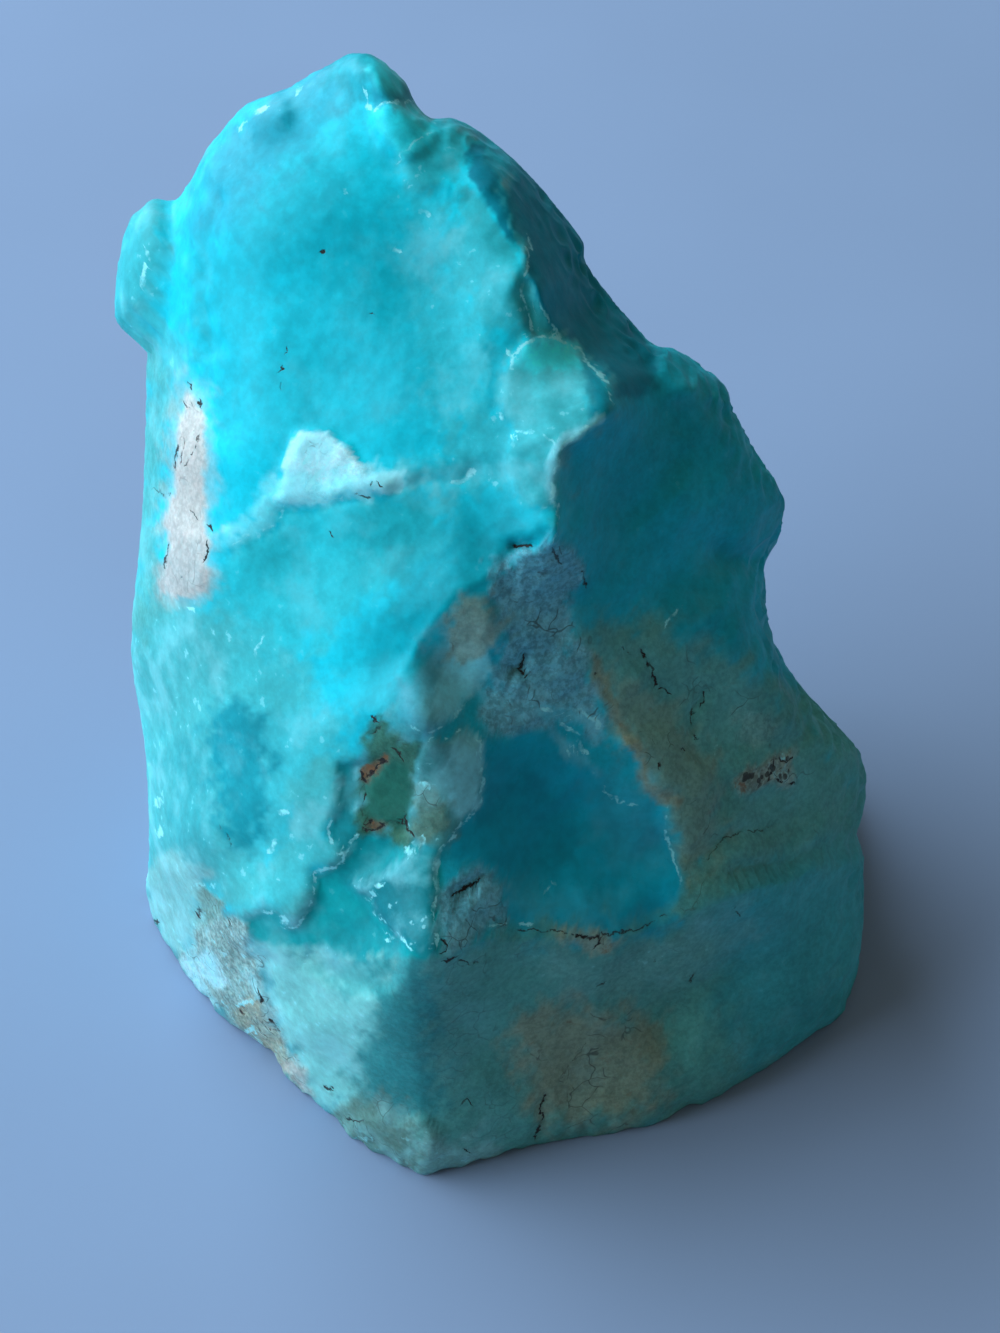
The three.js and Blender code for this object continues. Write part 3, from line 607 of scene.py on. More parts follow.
CREASES = (
    # behind the ear
    Crease(1.8, 1.6, 0.3, ((-27.1, 39.2), (-27.3, 35.7), (-27.8, 30.5), (-28.3, 26.2))),
    # fold beside the ear
    Crease(0.6, 0.6, 0.5, ((-23.5, 38.9), (-24.5, 34.7), (-24.6, 30.5), (-24.3, 26.2))),
    # beside the ledge
    Crease(0.7, 0.9, 0.5, ((6, 18.2), (5.5, 16.4), (5.2, 13.9), (5.3, 12), (4.8, 9.9))),
    # broken edge above the knob
    Crease(0.6, 0.7, 0.6, ((2.5, 32.9), (1.9, 31.5), (1.7, 30.4), (2.2, 29.4))),
    # step left of the shelf
    Crease(0.15, 0.5, 0.6, ((-17.9, 13), (-18.7, 11.7), (-20.8, 10), (-22.7, 9.2))),
    # under the shelf and along the step
    Crease(0.22, 0.45, 0.6, (
        (-19, 12.8), (-16.7, 13), (-13.8, 13.5), (-10.7, 14.1), (-8.7, 14.7), (-5, 15.5),
        (-1.7, 16),
    )),
    # first crack on the right
    Crease(0.35, 0.4, 1, (
        (11.8, 1.4), (12.5, 0.1), (12.9, -0.9), (13.2, -1.6), (14.2, -2.1),
    )),
    # second crack on the right
    Crease(0.6, 0.4, 0.5, ((16.9, -2), (16.7, -3), (15.9, -3.8), (16, -5.3))),
    # third crack on the right
    Crease(0.4, 0.5, 0.5, (
        (17.5, -15.8), (18.2, -14.9), (19, -14.3), (20.2, -13.8), (22.5, -13.3),
    )),
    # above the lower band
    Crease(0.5, 1.3, 0.6, (
        (-0.7, -21.6), (2.5, -21.9), (5.8, -22.2), (8.8, -22.3), (11.7, -21.6), (14, -20.7),
    )),
    # in the brown patch
    Crease(0.7, 0.4, 0.5, ((3.8, -35.8), (3.4, -37), (3.6, -37.6), (3, -39.3))),
    # lower slit in the grainy patch
    Crease(0.9, 0.4, 0.5, ((2, 1), (1.8, 0.2), (1, 0))),
    # upper slit in the grainy patch
    Crease(0.8, 0.4, 0.3, ((1.2, 10), (2.7, 10))),
    # slit by the hollow
    Crease(0.9, 0.4, 0.3, ((-3.5, -19), (-2.8, -18.4), (-2.2, -18.1), (-1.7, -17.8))),
    # round the iron knob
    Crease(0.5, 0.45, 0.4, (
        (-11.8, -8.5), (-9.7, -7.8), (-11.2, -9.1), (-11.4, -11.1), (-10.8, -12.6), (-9.3, -13.5),
        (-7.7, -13.3),
    )),
    # notch in the right edge
    Crease(1.6, 1.1, 0.5, ((22.3, 9.2), (20.7, 8.7), (18.5, 9.5))),
    # above the band's right end
    Crease(1.2, 0.9, 1, ((30, -14.3), (27.5, -15.3), (24.6, -16.3), (20, -17.1))),
    # between the rock strip and the bulge
    Crease(1.0, 0.8, 1, (
        (-25.3, -18.8), (-23.8, -21.1), (-20.8, -24.5), (-19, -27.8), (-16.7, -32.8),
    )),
    # along the right edge
    Crease(1.0, 0.8, 0.5, ((22.9, 10.1), (25, -2.8), (27.9, -4.6))),
)

SCOOPS = tuple(Scoop(*scoop) for scoop in (
    (2.0, 10.5, (5.2, -13.3)), (1.0, 6.5, (11.7, 5.5)), (1.2, 7.0, (16.7, -2.8)),
    (0.8, 6.0, (10.4, 16.4)), (0.9, 5.5, (15.8, 8.9)), (0.9, 7.5, (-15, 7.6)),
    (0.8, 6.0, (-8.3, 10.1)), (0.8, 5.5, (-21.8, -8.6)), (0.8, 4.5, (23.3, -13.6)),
    (1.0, 5.0, (20, -24.5)), (1.0, 5.5, (7.5, -33.6)), (0.8, 4.0, (-13.3, -32.8)),
    (0.6, 4.5, (-1.7, -31.1)), (1.0, 5.0, (12.9, -27.8)), (0.6, 7.0, (-14.2, 23.9)),
    (0.6, 8.0, (-8.3, 33)), (0.9, 3.5, (-21.7, -24.5)), (0.9, 3.0, (-19.8, -31.1)),
))


# ---------------------------------------------------------------- colours of the stone, with painted shade and light
@dataclass(frozen=True)
class Tone:
    """How one kind of surface on the stone looks.

    Attributes:
        colour: Colour, linear red, green and blue; in some tones it is painted shade or light.
        grain: Roughness of the broken surface, 0 smooth to 1 granular.
        cloud: How much white sugary fleck lies in it.
        rust: How much iron stain lies in it.
        gloss: How glassy it is.
    """

    colour: Colour
    grain: float = 0.15
    cloud: float = 0.1
    rust: float = 0.0
    gloss: float = 0.2


class Surface(Enum):
    """The kinds of surface that the stone shows, and tones of painted shade and light."""

    CRUST = Tone((0.06, 0.36, 0.40), grain=0.25, cloud=0.4)
    BRIGHT = Tone((0.001, 0.59, 0.71), grain=0.04, cloud=0.12, gloss=0.3)
    # painted shade: BRIGHT darkened to three quarters, for places that turn away from the light
    SHADED_BRIGHT = Tone((0.001, 0.44, 0.53), grain=0.04, cloud=0.05, gloss=0.4)
    MILKY = Tone((0.04, 0.50, 0.55), grain=0.08, cloud=0.5)
    PALE_GREEN = Tone((0.03, 0.42, 0.46), grain=0.05, cloud=0.3)
    DOME = Tone((0.09, 0.62, 0.68), grain=0.04, cloud=0.3, gloss=0.4)
    SUGAR = Tone((0.50, 0.88, 0.94), grain=0.4, cloud=1.0)
    TEAL = Tone((0.006, 0.42, 0.53), grain=0.2, cloud=0.1)
    # painted shade: the darkest teal, for strips, corners and hollows in shade
    PAINTED_SHADE = Tone((0.0, 0.24, 0.33), grain=0.08, cloud=0.0, gloss=0.0)
    OLIVE = Tone((0.11, 0.37, 0.34), grain=0.4, cloud=0.1, rust=0.1)
    OCHRE = Tone((0.40, 0.42, 0.28), grain=0.6, rust=0.4)
    EDGE_RUST = Tone((0.26, 0.27, 0.17), grain=0.5, rust=0.25)
    LOW_SLAB = Tone((0.02, 0.51, 0.56), grain=0.05, cloud=0.2, gloss=0.3)
    # painted light: a pale tone that lightens places the relief leaves too dark, such as the knob's
    # top
    PAINTED_LIGHT = Tone((0.05, 0.90, 0.98), grain=0.04, cloud=0.2)
    # painted shade over the upper left of the bright slab
    SHADED_UPPER_SLAB = Tone((0.006, 0.35, 0.46), grain=0.04, cloud=0.2, gloss=0.3)
    # painted shade where the lower band's front turns away from the light
    SHADED_TURN = Tone((0.03, 0.29, 0.30), grain=0.3, cloud=0.1)
    FRINGE = Tone((0.20, 0.86, 0.92), grain=0.15, cloud=0.7)
    SCAR = Tone((0.26, 0.34, 0.28), grain=1.0, cloud=0.4, rust=0.5)
    RUSTED = Tone((0.14, 0.10, 0.06), grain=0.5, rust=0.8)
    BROWN = Tone((0.25, 0.31, 0.21), grain=0.5, cloud=0.1, rust=0.2)
    MAUVE = Tone((0.14, 0.41, 0.50), grain=0.9, cloud=0.35)
    PINKISH = Tone((0.14, 0.48, 0.54), grain=0.2, cloud=0.1)
    LIT_LOBE = Tone((0.22, 0.72, 0.80), grain=0.1, cloud=0.1)
    DUSTY = Tone((0.28, 0.33, 0.33), grain=0.4)
    WINDOW = Tone((0.001, 0.40, 0.54), grain=0.0, cloud=0.0, gloss=1.0)
    VEIL = Tone((0.08, 0.50, 0.62), grain=0.15, cloud=0.5, gloss=0.5)
    HOLLOW = Tone((0.0, 0.34, 0.36), grain=0.03, cloud=0.12, gloss=0.6)
    TAB = Tone((0.0, 0.26, 0.29), grain=0.1, cloud=0.15)
    FLAKE = Tone((0.06, 0.29, 0.30), grain=0.15, cloud=0.4, gloss=0.5)
    FLAKE_OLIVE = Tone((0.10, 0.22, 0.17), grain=0.5, cloud=0.3, rust=0.2)
    MOSS = Tone((0.04, 0.15, 0.09), grain=0.5, cloud=0.1, rust=0.1)
    FLANK = Tone((0.07, 0.47, 0.48), grain=0.08, cloud=0.4)
    # painted shade: BRIGHT at half strength, for pockets and turns in shade
    POCKET_SHADE = Tone((0.0, 0.29, 0.35), grain=0.08, cloud=0.15)
    ICY = Tone((0.005, 0.21, 0.25), grain=0.1, cloud=0.5, gloss=0.6)
    IRON = Tone((0.015, 0.14, 0.10), grain=0.25, rust=0.1)
    ROCK = Tone((0.26, 0.43, 0.40), grain=1.0, cloud=0.6, rust=0.15)
    CHALK = Tone((0.54, 0.56, 0.52), grain=0.35, cloud=0.15, rust=0.1)
    BULGE = Tone((0.24, 0.60, 0.58), grain=0.2, cloud=0.5)
    BAND = Tone((0.09, 0.36, 0.32), grain=0.35, cloud=0.15, rust=0.08)
    BAND_PALE = Tone((0.22, 0.69, 0.66), grain=0.12, cloud=0.4)
    DULL = Tone((0.12, 0.27, 0.23), grain=0.4, cloud=0.3)
    CORNER = Tone((0.22, 0.50, 0.46), grain=0.4, cloud=0.5, rust=0.08)


@dataclass(frozen=True)
class Patch:
    """A zone of one kind of surface, or of painted shade or light, on the front of the stone.

    Attributes:
        name: What the zone is.
        surface: Its kind of surface.
        soft: Half width of its edge.
        strength: How fully it covers what is under it.
        edge: The zone's outline on the sheet.
    """

    name: str
    surface: Surface
    soft: float
    strength: float
    edge: Line

    # half the fade, the ripple's movement and the zone's reach as shares of the soft half
    # width, and the widest such half width, in millimetres, that the ripple still grows with
    HALF_FADE = 0.75
    RIPPLE_SHARE = 0.7
    REACH = 1.6
    WIDEST_RIPPLE = 1.3

    def cover(self, places: Array, ripple: Array) -> Array:
        """Work out how much of each place the zone covers.

        Args:
            places: Places on the sheet, one row each.
            ripple: Noise per place that breaks up the edge, about -1 to 1.

        Returns:
            Coverage from 0 to strength, with a mottled soft edge.
        """
        curve = curve_through(self.edge, True)
        out = np.zeros(len(places))
        near = near_curve(places, curve, self.REACH * self.soft)
        mottle = self.RIPPLE_SHARE * min(self.soft, self.WIDEST_RIPPLE) * ripple[near]
        distance = signed_distance(places[near], curve) + mottle
        fade = self.HALF_FADE * self.soft
        out[near] = self.strength * smooth_rise(fade, -fade, distance)
        return out


def edge_ripple(flat: Array) -> Array:
    """Work out the noise that breaks up the edges of zones.

    Args:
        flat: Places on the sheet, one row each.

    Returns:
        The sum of 2.8 mm, 1.3 mm and 0.7 mm noise.
    """
    raised = np.column_stack([flat, np.zeros(len(flat))])
    layers = ((2.8, 0.8), (1.3, 0.5), (0.7, 0.35))
    return sum(share * RollingNoise(size, size).at(raised) for size, share in layers)


PATCHES = tuple(Patch(*zone) for zone in (
    ("shaded right side", Surface.TEAL, 1.2, 1.0, (
        (-5.8, 47.2), (-2, 43.7), (0.2, 39.9), (3, 31.7), (5, 27.9), (9.4, 22.2), (5, 18.2),
        (4.7, 9.9), (-1.7, 2.2), (-5.8, -4.5), (-5, -24.5), (33.3, -18.6), (33.3, 30.5),
        (11.7, 34.7), (3.3, 45.5),
    )),
    ("bright slab", Surface.BRIGHT, 0.8, 1.0, (
        (-12.1, 53), (-8.3, 46.2), (-5, 45.5), (-2, 43.9), (0.2, 39.9), (1.8, 35.7), (2.5, 32.9),
        (1.7, 30.5), (2.5, 28), (4.8, 27.5), (8.2, 24.7), (9.4, 22), (5, 18), (4.7, 10.1), (0, 6.4),
        (-8.3, -2), (-10.7, -6.5), (-13.6, -9), (-14.2, -17), (-21.4, -20.7), (-29.2, -17.8),
        (-32.5, 5.5), (-30.8, 26.4), (-33.8, 30.5), (-31.7, 40.5), (-25.8, 41.4), (-20.8, 48.9),
    )),
    # painted shade on the face below the crest, turned away from the light
    ("darkest strip below the crest", Surface.PAINTED_SHADE, 0.6, 1.0, (
        (0.3, 39.7), (1.9, 35.7), (2.3, 32.9), (1.6, 30.5), (2.2, 28.2), (5, 27.8), (8.3, 25),
        (9.7, 22.9), (12.1, 22.9), (12.7, 26.2), (5, 39.7), (1.7, 42.2),
    )),
    # painted shade where the middle turns away from the light
    ("shaded middle", Surface.SHADED_BRIGHT, 3.5, 0.95, (
        (-5, 12.9), (3.8, 15), (4.3, 10.1), (-12.9, -7.8), (-12.5, -2), (-8.3, 8.9),
    )),
    ("greener plane under the step", Surface.LOW_SLAB, 1.5, 0.75, (
        (-23.8, 7.2), (-22.3, 10.1), (-18.7, 12), (-17.7, 13.5), (-5.8, 14.5), (-4.2, 12.2),
        (-5.8, 8.9), (-15, 2.2), (-16.7, -2.8), (-22.5, -2.8), (-25, 2.2),
    )),
    # painted shade in the turn of the middle
    ("turn of the middle", Surface.POCKET_SHADE, 2.6, 0.45, (
        (-8.8, 9.9), (-5, 11.9), (0, 12.2), (3.8, 10.1), (-5, 3.7), (-8.3, 5.4),
    )),
    # painted shade in the fold
    ("deep fold at the left", Surface.SHADED_BRIGHT, 1.0, 0.35, (
        (-24.6, 38.9), (-23.5, 38.9), (-23.7, 27.2), (-22.7, 20.5), (-24, 20.5), (-25, 27.2),
    )),
    # painted shade over the left of the slab
    ("shaded left of the slab", Surface.SHADED_BRIGHT, 3.0, 0.75, (
        (-22.9, 39.7), (-16.7, 45.5), (-15, 43), (-17.5, 38.9), (-21.7, 22.2), (-24, 22.2),
        (-24.6, 30.5),
    )),
    # painted shade over the upper left of the slab
    ("upper left of the slab", Surface.SHADED_UPPER_SLAB, 2.4, 0.95, (
        (-12.9, 52.5), (-10.2, 51), (-10, 48.2), (-14.8, 44.9), (-22.3, 36.9), (-24.5, 36),
        (-25.8, 36.9), (-25.3, 40.5), (-21, 46.8),
    )),
    # painted shade on the top of the tip
    ("top of the tip", Surface.POCKET_SHADE, 1.2, 0.9, (
        (-13.5, 51.7), (-11.2, 51.4), (-10.5, 49.4), (-11.2, 47.5), (-12.9, 47.5), (-14.2, 48.9),
    )),
    # painted shade over the upper middle
    ("upper middle", Surface.SHADED_BRIGHT, 3.5, 0.4, (
        (-15.8, 39.7), (-12.9, 42.2), (-10, 39.3), (-5, 37.6), (-1.7, 30.5), (-0.8, 22.2),
        (-6.7, 17.6), (-11.7, 18), (-16.7, 22.2), (-19.2, 28),
    )),
    ("pale upper right", Surface.PALE_GREEN, 1.6, 0.8, (
        (-4, 38.5), (-0.7, 38.9), (2.2, 31.7), (2, 28), (0, 27.6), (-4, 33),
    )),
    ("pale lobe by the tip", Surface.PALE_GREEN, 0.9, 0.6, (
        (-8.4, 41.5), (-8, 43), (-5.2, 44.8), (-3.8, 45.4), (-2.5, 44.9), (-2.7, 43), (-3.8, 41),
        (-5.8, 39.7), (-7.8, 40.2),
    )),
    ("lit lobe below the tip", Surface.PAINTED_LIGHT, 1.0, 0.5, (
        (-10.2, 46.2), (-8.7, 47), (-7.3, 46.5), (-6, 45.4), (-6.7, 44), (-8, 43), (-9.5, 43.9),
        (-10.3, 45),
    )),
    ("shade past that lobe", Surface.PAINTED_SHADE, 0.5, 1.0, (
        (-2.5, 43.7), (-1.5, 43), (-0.7, 41.7), (1.7, 35.5), (0.3, 36.2), (-2.2, 40.5),
        (-2.7, 42.4),
    )),
    ("clouded middle", Surface.MILKY, 1.2, 0.65, (
        (-4.5, 17.6), (-4, 20.1), (-0.8, 21.8), (1, 21.9), (1.7, 19.7), (3.3, 19.5), (4.6, 18),
        (4.8, 13.9), (3, 13.4), (-2.5, 15.2), (-8.7, 14.7), (-9.2, 16.4),
    )),
    ("lobe under the knob", Surface.PALE_GREEN, 0.4, 0.85, (
        (1.3, 19.6), (3, 19.6), (4.2, 18.9), (4.8, 17.6), (4.7, 13.5), (2.8, 13.5), (1.3, 14.5),
        (0.7, 16.4), (0.8, 18.5),
    )),
    ("clouded shoulder", Surface.MILKY, 2.0, 0.4, (
        (-8.3, 39.7), (-5, 38.9), (0, 27.2), (0, 22.2), (-3.3, 19.7), (-5.8, 22.2),
    )),
    ("small recess above the knob", Surface.PALE_GREEN, 0.3, 0.9, (
        (2.2, 32.2), (1.8, 30.5), (2.5, 28.2), (3.2, 27.4), (4.8, 27.5), (4.1, 29), (3.2, 30.4),
        (2.7, 31.8),
    )),
    # painted shade over the lit wall left of the knob
    ("turn left of the knob", Surface.SHADED_BRIGHT, 0.8, 0.9, (
        (-0.2, 27.4), (1.3, 27.2), (0.2, 22.6), (0.7, 20.1), (-0.5, 20.5), (-1, 23), (-0.8, 26),
    )),
    ("round knob", Surface.DOME, 0.7, 0.9, (
        (1.2, 26.2), (2.3, 27.1), (3.8, 27.4), (5.3, 27.1), (6.7, 26.3), (7.5, 25), (7.7, 23),
        (7.3, 19.9), (4.9, 18.1), (2, 19.5), (1, 20.5), (0.7, 22.4), (0.8, 24.7),
    )),
    ("knob's shaded side", Surface.PAINTED_SHADE, 0.6, 0.75, (
        (6.7, 26.2), (7.8, 25.2), (9.4, 22), (8.5, 21), (7.5, 20.5), (7.2, 24.2),
    )),
    # painted light on the top of the knob
    ("lit top of the knob", Surface.PAINTED_LIGHT, 0.7, 0.9, (
        (1.7, 26.2), (2.7, 27), (4, 27.1), (5.5, 26.8), (6.7, 25.9), (6.3, 24.9), (1.5, 25),
    )),
    ("greener foot of the knob", Surface.PALE_GREEN, 1.0, 0.7, (
        (0.5, 25), (1.7, 24.7), (2.5, 22.9), (4, 22), (6.5, 22.4), (7.3, 21.5), (7.2, 20.2),
        (4.9, 18.4), (2, 19.6), (0.7, 20.9),
    )),
    ("lit lip of the ledge", Surface.LIT_LOBE, 0.2, 0.9, (
        (4.3, 18.4), (7.2, 20.1), (8.1, 21), (8.5, 20.5), (5.2, 18), (4.8, 16.4), (4.8, 13.9),
        (4.2, 13.9),
    )),
    ("sugary shelf", Surface.SUGAR, 0.25, 1.0, (
        (-18.4, 14.5), (-18.2, 16.4), (-17.9, 17.6), (-17.3, 18.9), (-16.5, 19.6), (-13.8, 19),
        (-12.8, 18.3), (-11.5, 16.4), (-11.3, 15.4), (-12.1, 14.8), (-14.8, 14), (-17.8, 13.6),
    )),
    ("sugary fringe", Surface.FRINGE, 0.8, 0.75, (
        (-22.7, 10.1), (-19.8, 14.7), (-18.3, 16.4), (-16.7, 16.4), (-13.3, 15.5), (-11.2, 16.4),
        (-8.8, 16.5), (-8.7, 14.5), (-18, 13.4), (-19.2, 11.9),
    )),
    ("sugary tail of the shelf", Surface.SUGAR, 0.5, 0.4, (
        (-11.7, 16.5), (-10, 16.7), (-8.5, 16.2), (-8.7, 14.7), (-10.7, 14.4), (-11.8, 14.7),
    )),
    ("milky lower slab", Surface.FLANK, 2.5, 0.6, (
        (-30, 5.5), (-23.8, 5.5), (-14.2, -2.8), (-13.3, -8.6), (-16.7, -15.3), (-22.5, -19.5),
        (-29.2, -17.8), (-32.5, -7.8),
    )),
    ("pale left flank", Surface.FLANK, 2.0, 0.85, (
        (-33.3, 5.5), (-29.2, 6.4), (-23.8, 3.9), (-21.7, -2.8), (-22.9, -7.8), (-20.8, -16.1),
        (-21.7, -19.5), (-29.2, -17), (-31.7, -7.8),
    )),
    ("pale left edge", Surface.FLANK, 1.5, 0.6, (
        (-29.6, 27.2), (-25.8, 26.4), (-27.9, 16.4), (-28.3, 5.5), (-32.5, 5.5),
    )),
    ("duller left edge", Surface.BAND, 1.8, 0.55, (
        (-30.2, 25.1), (-27.9, 24.3), (-27.8, 16.4), (-28.5, 4.3), (-30.7, 3.9),
    )),
    # painted shade on the inner flank
    ("shaded inner flank", Surface.POCKET_SHADE, 2.2, 0.4, (
        (-27.5, -6.5), (-23.8, -5.7), (-22.5, -10.3), (-23.2, -15.3), (-25.8, -15.3),
        (-27.3, -11.1),
    )),
    # painted shade in the flank pocket
    ("deep flank pocket", Surface.POCKET_SHADE, 1.2, 0.9, (
        (-23.2, -2.8), (-19.8, -4.5), (-19.3, -8.6), (-19.8, -13.6), (-21.7, -15.3), (-23.2, -12.8),
        (-24, -7.8),
    )),
    ("pale slab end", Surface.FLANK, 0.9, 0.75, (
        (-17.5, -10.3), (-15, -7.8), (-13.7, -9.1), (-13.3, -11.6), (-14.5, -13.3), (-13.2, -16.3),
        (-15.5, -17.1), (-15.5, -19), (-17, -21.5), (-19.2, -20.3), (-21.7, -21.1), (-22.8, -18.6),
        (-17.9, -14.5),
    )),
    ("weathered strip", Surface.CHALK, 0.3, 1.0, (
        (-26.1, 22.5), (-25.1, 22.1), (-24.4, 20.7), (-24.8, 15.5), (-24.2, 10.1), (-24.4, 7.6),
        (-24.8, 6.1), (-25.8, 5.7), (-27.7, 5.8), (-28.1, 7.2), (-27.3, 15.5),
    )),
    ("dusty foot of the strip", Surface.DUSTY, 0.9, 0.6, (
        (-27.3, 11.4), (-25.8, 10.9), (-24.4, 11), (-24.5, 7.2), (-25.8, 5.9), (-27.7, 6.2),
        (-28.1, 8.9),
    )),
    ("weathered fringe", Surface.CHALK, 0.8, 0.3, (
        (-26.8, 24.3), (-25, 23.9), (-24, 21.4), (-23.7, 10.1), (-24, 5.4), (-28.2, 5.2),
        (-28.6, 8), (-27.8, 18.9),
    )),
    ("ear", Surface.PALE_GREEN, 1.2, 1.0, (
        (-33.3, 28.9), (-32.1, 36.4), (-30, 38.9), (-27.9, 39), (-28.3, 33.9), (-29.6, 28),
    )),
    # painted shade in the corner under the tip
    ("darkest corner under the tip", Surface.PAINTED_SHADE, 0.4, 0.7, (
        (-10.6, 47.2), (-10.5, 48.2), (-9.7, 48.9), (-8.3, 48.7), (-7.3, 47.9), (-7.2, 47),
        (-9.5, 46.9), (-10.4, 46.5),
    )),
    ("tip shade's soft left", Surface.SHADED_BRIGHT, 1.4, 0.6, (
        (-12.9, 51), (-11.2, 51.8), (-9.6, 51), (-10, 48.5), (-11.7, 48),
    )),
    # painted light on the right lobe of the tip
    ("right lobe of the tip", Surface.PAINTED_LIGHT, 0.9, 0.6, (
        (-10.5, 50.7), (-9, 50.5), (-7.8, 48.9), (-8.2, 47.7), (-9.7, 48), (-10.5, 49),
    )),
    ("olive side", Surface.OLIVE, 2.2, 0.9, (
        (6, 2.2), (11.7, 3.9), (16.7, 2.2), (23.3, -2), (28.3, -7.8), (29.2, -13.6), (20.8, -18.8),
        (16.3, -19.5), (14, -14.9), (13.9, -11.1), (9.2, -4.5),
    )),
    ("foot of the olive side", Surface.OLIVE, 1.4, 0.8, (
        (13.8, -17.1), (16.7, -15.3), (20.4, -17.1), (20.4, -19.9), (17.1, -21), (14.7, -21),
    )),
    ("shade at that foot", Surface.MOSS, 1.6, 0.4, (
        (14.2, -17.1), (16.7, -16.6), (20.2, -17.8), (20.2, -19.9), (17.1, -21), (14.7, -20.8),
    )),
    ("grey-green right edge", Surface.BAND, 1.8, 0.8, (
        (24.2, -1.1), (29.2, -2.8), (32.5, -7.8), (32.5, -19.5), (26.7, -22), (22.5, -19.5),
        (27.5, -11.1), (23, -3.3),
    )),
    ("browner part of it", Surface.BROWN, 1.4, 0.4, (
        (7.7, -0.5), (10.8, -1.1), (16.7, -6.1), (18.3, -10.3), (17.7, -15.3), (15.8, -18.1),
        (14.5, -16.1), (14, -11.3), (12.3, -9.9),
    )),
    ("olive edge line", Surface.EDGE_RUST, 0.35, 0.75, (
        (10.2, -5.3), (11.7, -6.3), (12.5, -8.6), (13.5, -10.3), (15.3, -11), (14.7, -11.8),
        (13, -11.3), (11.8, -9.5), (10.7, -7.1),
    )),
    ("upper rusty edge", Surface.EDGE_RUST, 0.45, 0.5, (
        (7.5, 0.4), (8.3, 0.7), (10.4, -4.6), (9.3, -4.1), (8.2, -2.1),
    )),
    ("pitted rusty scar", Surface.SCAR, 0.6, 0.85, (
        (20.2, -8), (21, -8.3), (23.7, -7.1), (24.7, -8), (24.3, -10.1), (22.5, -9.8),
        (20.2, -10.6), (19.7, -9.5),
    )),
    ("pale lumps above the scar", Surface.ROCK, 0.8, 0.3, (
        (19.7, -4.1), (21, -3.5), (22.5, -4.1), (23, -5.6), (21.8, -6.5), (20.3, -6),
    )),
    ("grainy patch", Surface.MAUVE, 1.0, 0.85, (
        (-0.8, 6.4), (1, 9.2), (5, 10.1), (7.1, 8.9), (5.8, 5.5), (6.7, 0.5), (8, -2), (8.3, -5.7),
        (5.8, -4.6), (1.7, -5.7), (-1.2, -5.3), (-1.7, -2.8), (0, 1),
    )),
    ("pinkish lobe", Surface.PINKISH, 1.6, 0.9, (
        (-6.3, 1), (-3.5, 4.9), (-1.8, 5.5), (0, 5), (0.2, 3.4), (-1.7, -1.3), (-5.3, -5),
        (-6.7, -4.6), (-7.5, -2.8),
    )),
    ("shade left of it", Surface.PAINTED_SHADE, 1.6, 0.45, (
        (-8.2, -2.8), (-6, 1.4), (-5.3, -0.1), (-6.3, -3.8), (-7.5, -4.6),
    )),
    # painted highlight along the lobe's clear lower rim
    ("its clear lower rim", Surface.LIT_LOBE, 0.4, 0.7, (
        (-3.5, 1.5), (-0.7, 1), (-1.7, -1.5), (-2.8, -3.1), (-4, -4.4), (-5.2, -5.3), (-5.8, -4.1),
        (-5.3, -2),
    )),
    ("brown top of the lobe", Surface.BROWN, 0.9, 0.6, (
        (-4, 4.5), (-2, 5.7), (0, 5), (0, 3.7), (-1.2, 1), (-3.2, 0.5), (-4.3, 2.2),
    )),
    ("dark window", Surface.WINDOW, 0.45, 1.0, (
        (-4.3, -14.6), (-1.7, -11.1), (-1.3, -8.6), (-1.7, -6.5), (0, -5.9), (2.5, -5.5), (5, -6.5),
        (7.5, -8.2), (10, -10.3), (14, -11.6), (13.9, -13.6), (14.3, -16.1), (15.2, -18.6),
        (12.5, -21.5), (8.3, -22.1), (1.7, -21.6), (0, -19.5), (-1, -17), (-3.3, -16.3),
    )),
    # painted shade in the heart of the window
    ("heart of the window", Surface.PAINTED_SHADE, 1.6, 0.42, (
        (-1.3, -10.3), (0, -9.3), (2.5, -9.1), (4.7, -10.3), (6, -12.1), (6.3, -15.3), (5, -17.3),
        (-3.2, -15.5),
    )),
    # painted shade right of the window's heart
    ("right of the window's heart", Surface.PAINTED_SHADE, 1.8, 0.4, (
        (8.2, -9.1), (11.7, -10.3), (12.9, -12.4), (11.7, -15), (9.2, -14.6), (7.5, -12),
    )),
    ("upper window veil", Surface.VEIL, 0.6, 0.8, (
        (3.3, -3.3), (5.2, -3), (7.5, -4), (8.7, -5.5), (7.5, -5.5), (5.8, -4.5), (3.8, -4.1),
    )),
    ("lower window veil", Surface.VEIL, 0.6, 0.75, (
        (4.2, -5.3), (5.5, -6), (8.3, -8.3), (8, -9.1), (4.7, -6.5),
    )),
    ("window haze", Surface.VEIL, 2.0, 0.2, (
        (8, -8.6), (14, -11.6), (13.3, -16.3), (10.8, -17.1), (8.3, -16.3),
    )),
    ("foot of the window", Surface.VEIL, 1.2, 0.2, (
        (0, -18.6), (3.3, -18.1), (11.7, -19.9), (8.3, -22), (1.7, -21.6),
    )),
    ("green under the band's corner", Surface.CORNER, 1.0, 1.0, (
        (-13.3, -24.5), (-5, -24.5), (-4.2, -40.3), (-10, -39.5), (-13.8, -33.6),
    )),
    ("lower band", Surface.BAND, 2.6, 1.0, (
        (-10.3, -25.1), (0, -22), (12.5, -21.8), (31.7, -15.3), (31.7, -28.6), (16.7, -37.8),
        (-2.5, -42.8), (-9.2, -40.3), (-11.7, -32.8),
    )),
    ("band right", Surface.TEAL, 3.5, 0.5, (
        (18.3, -19.5), (31.7, -15.3), (31.7, -28.6), (21.7, -34.5), (18.3, -27.8),
    )),
    ("lighter under the crack line", Surface.CORNER, 2.0, 0.3, (
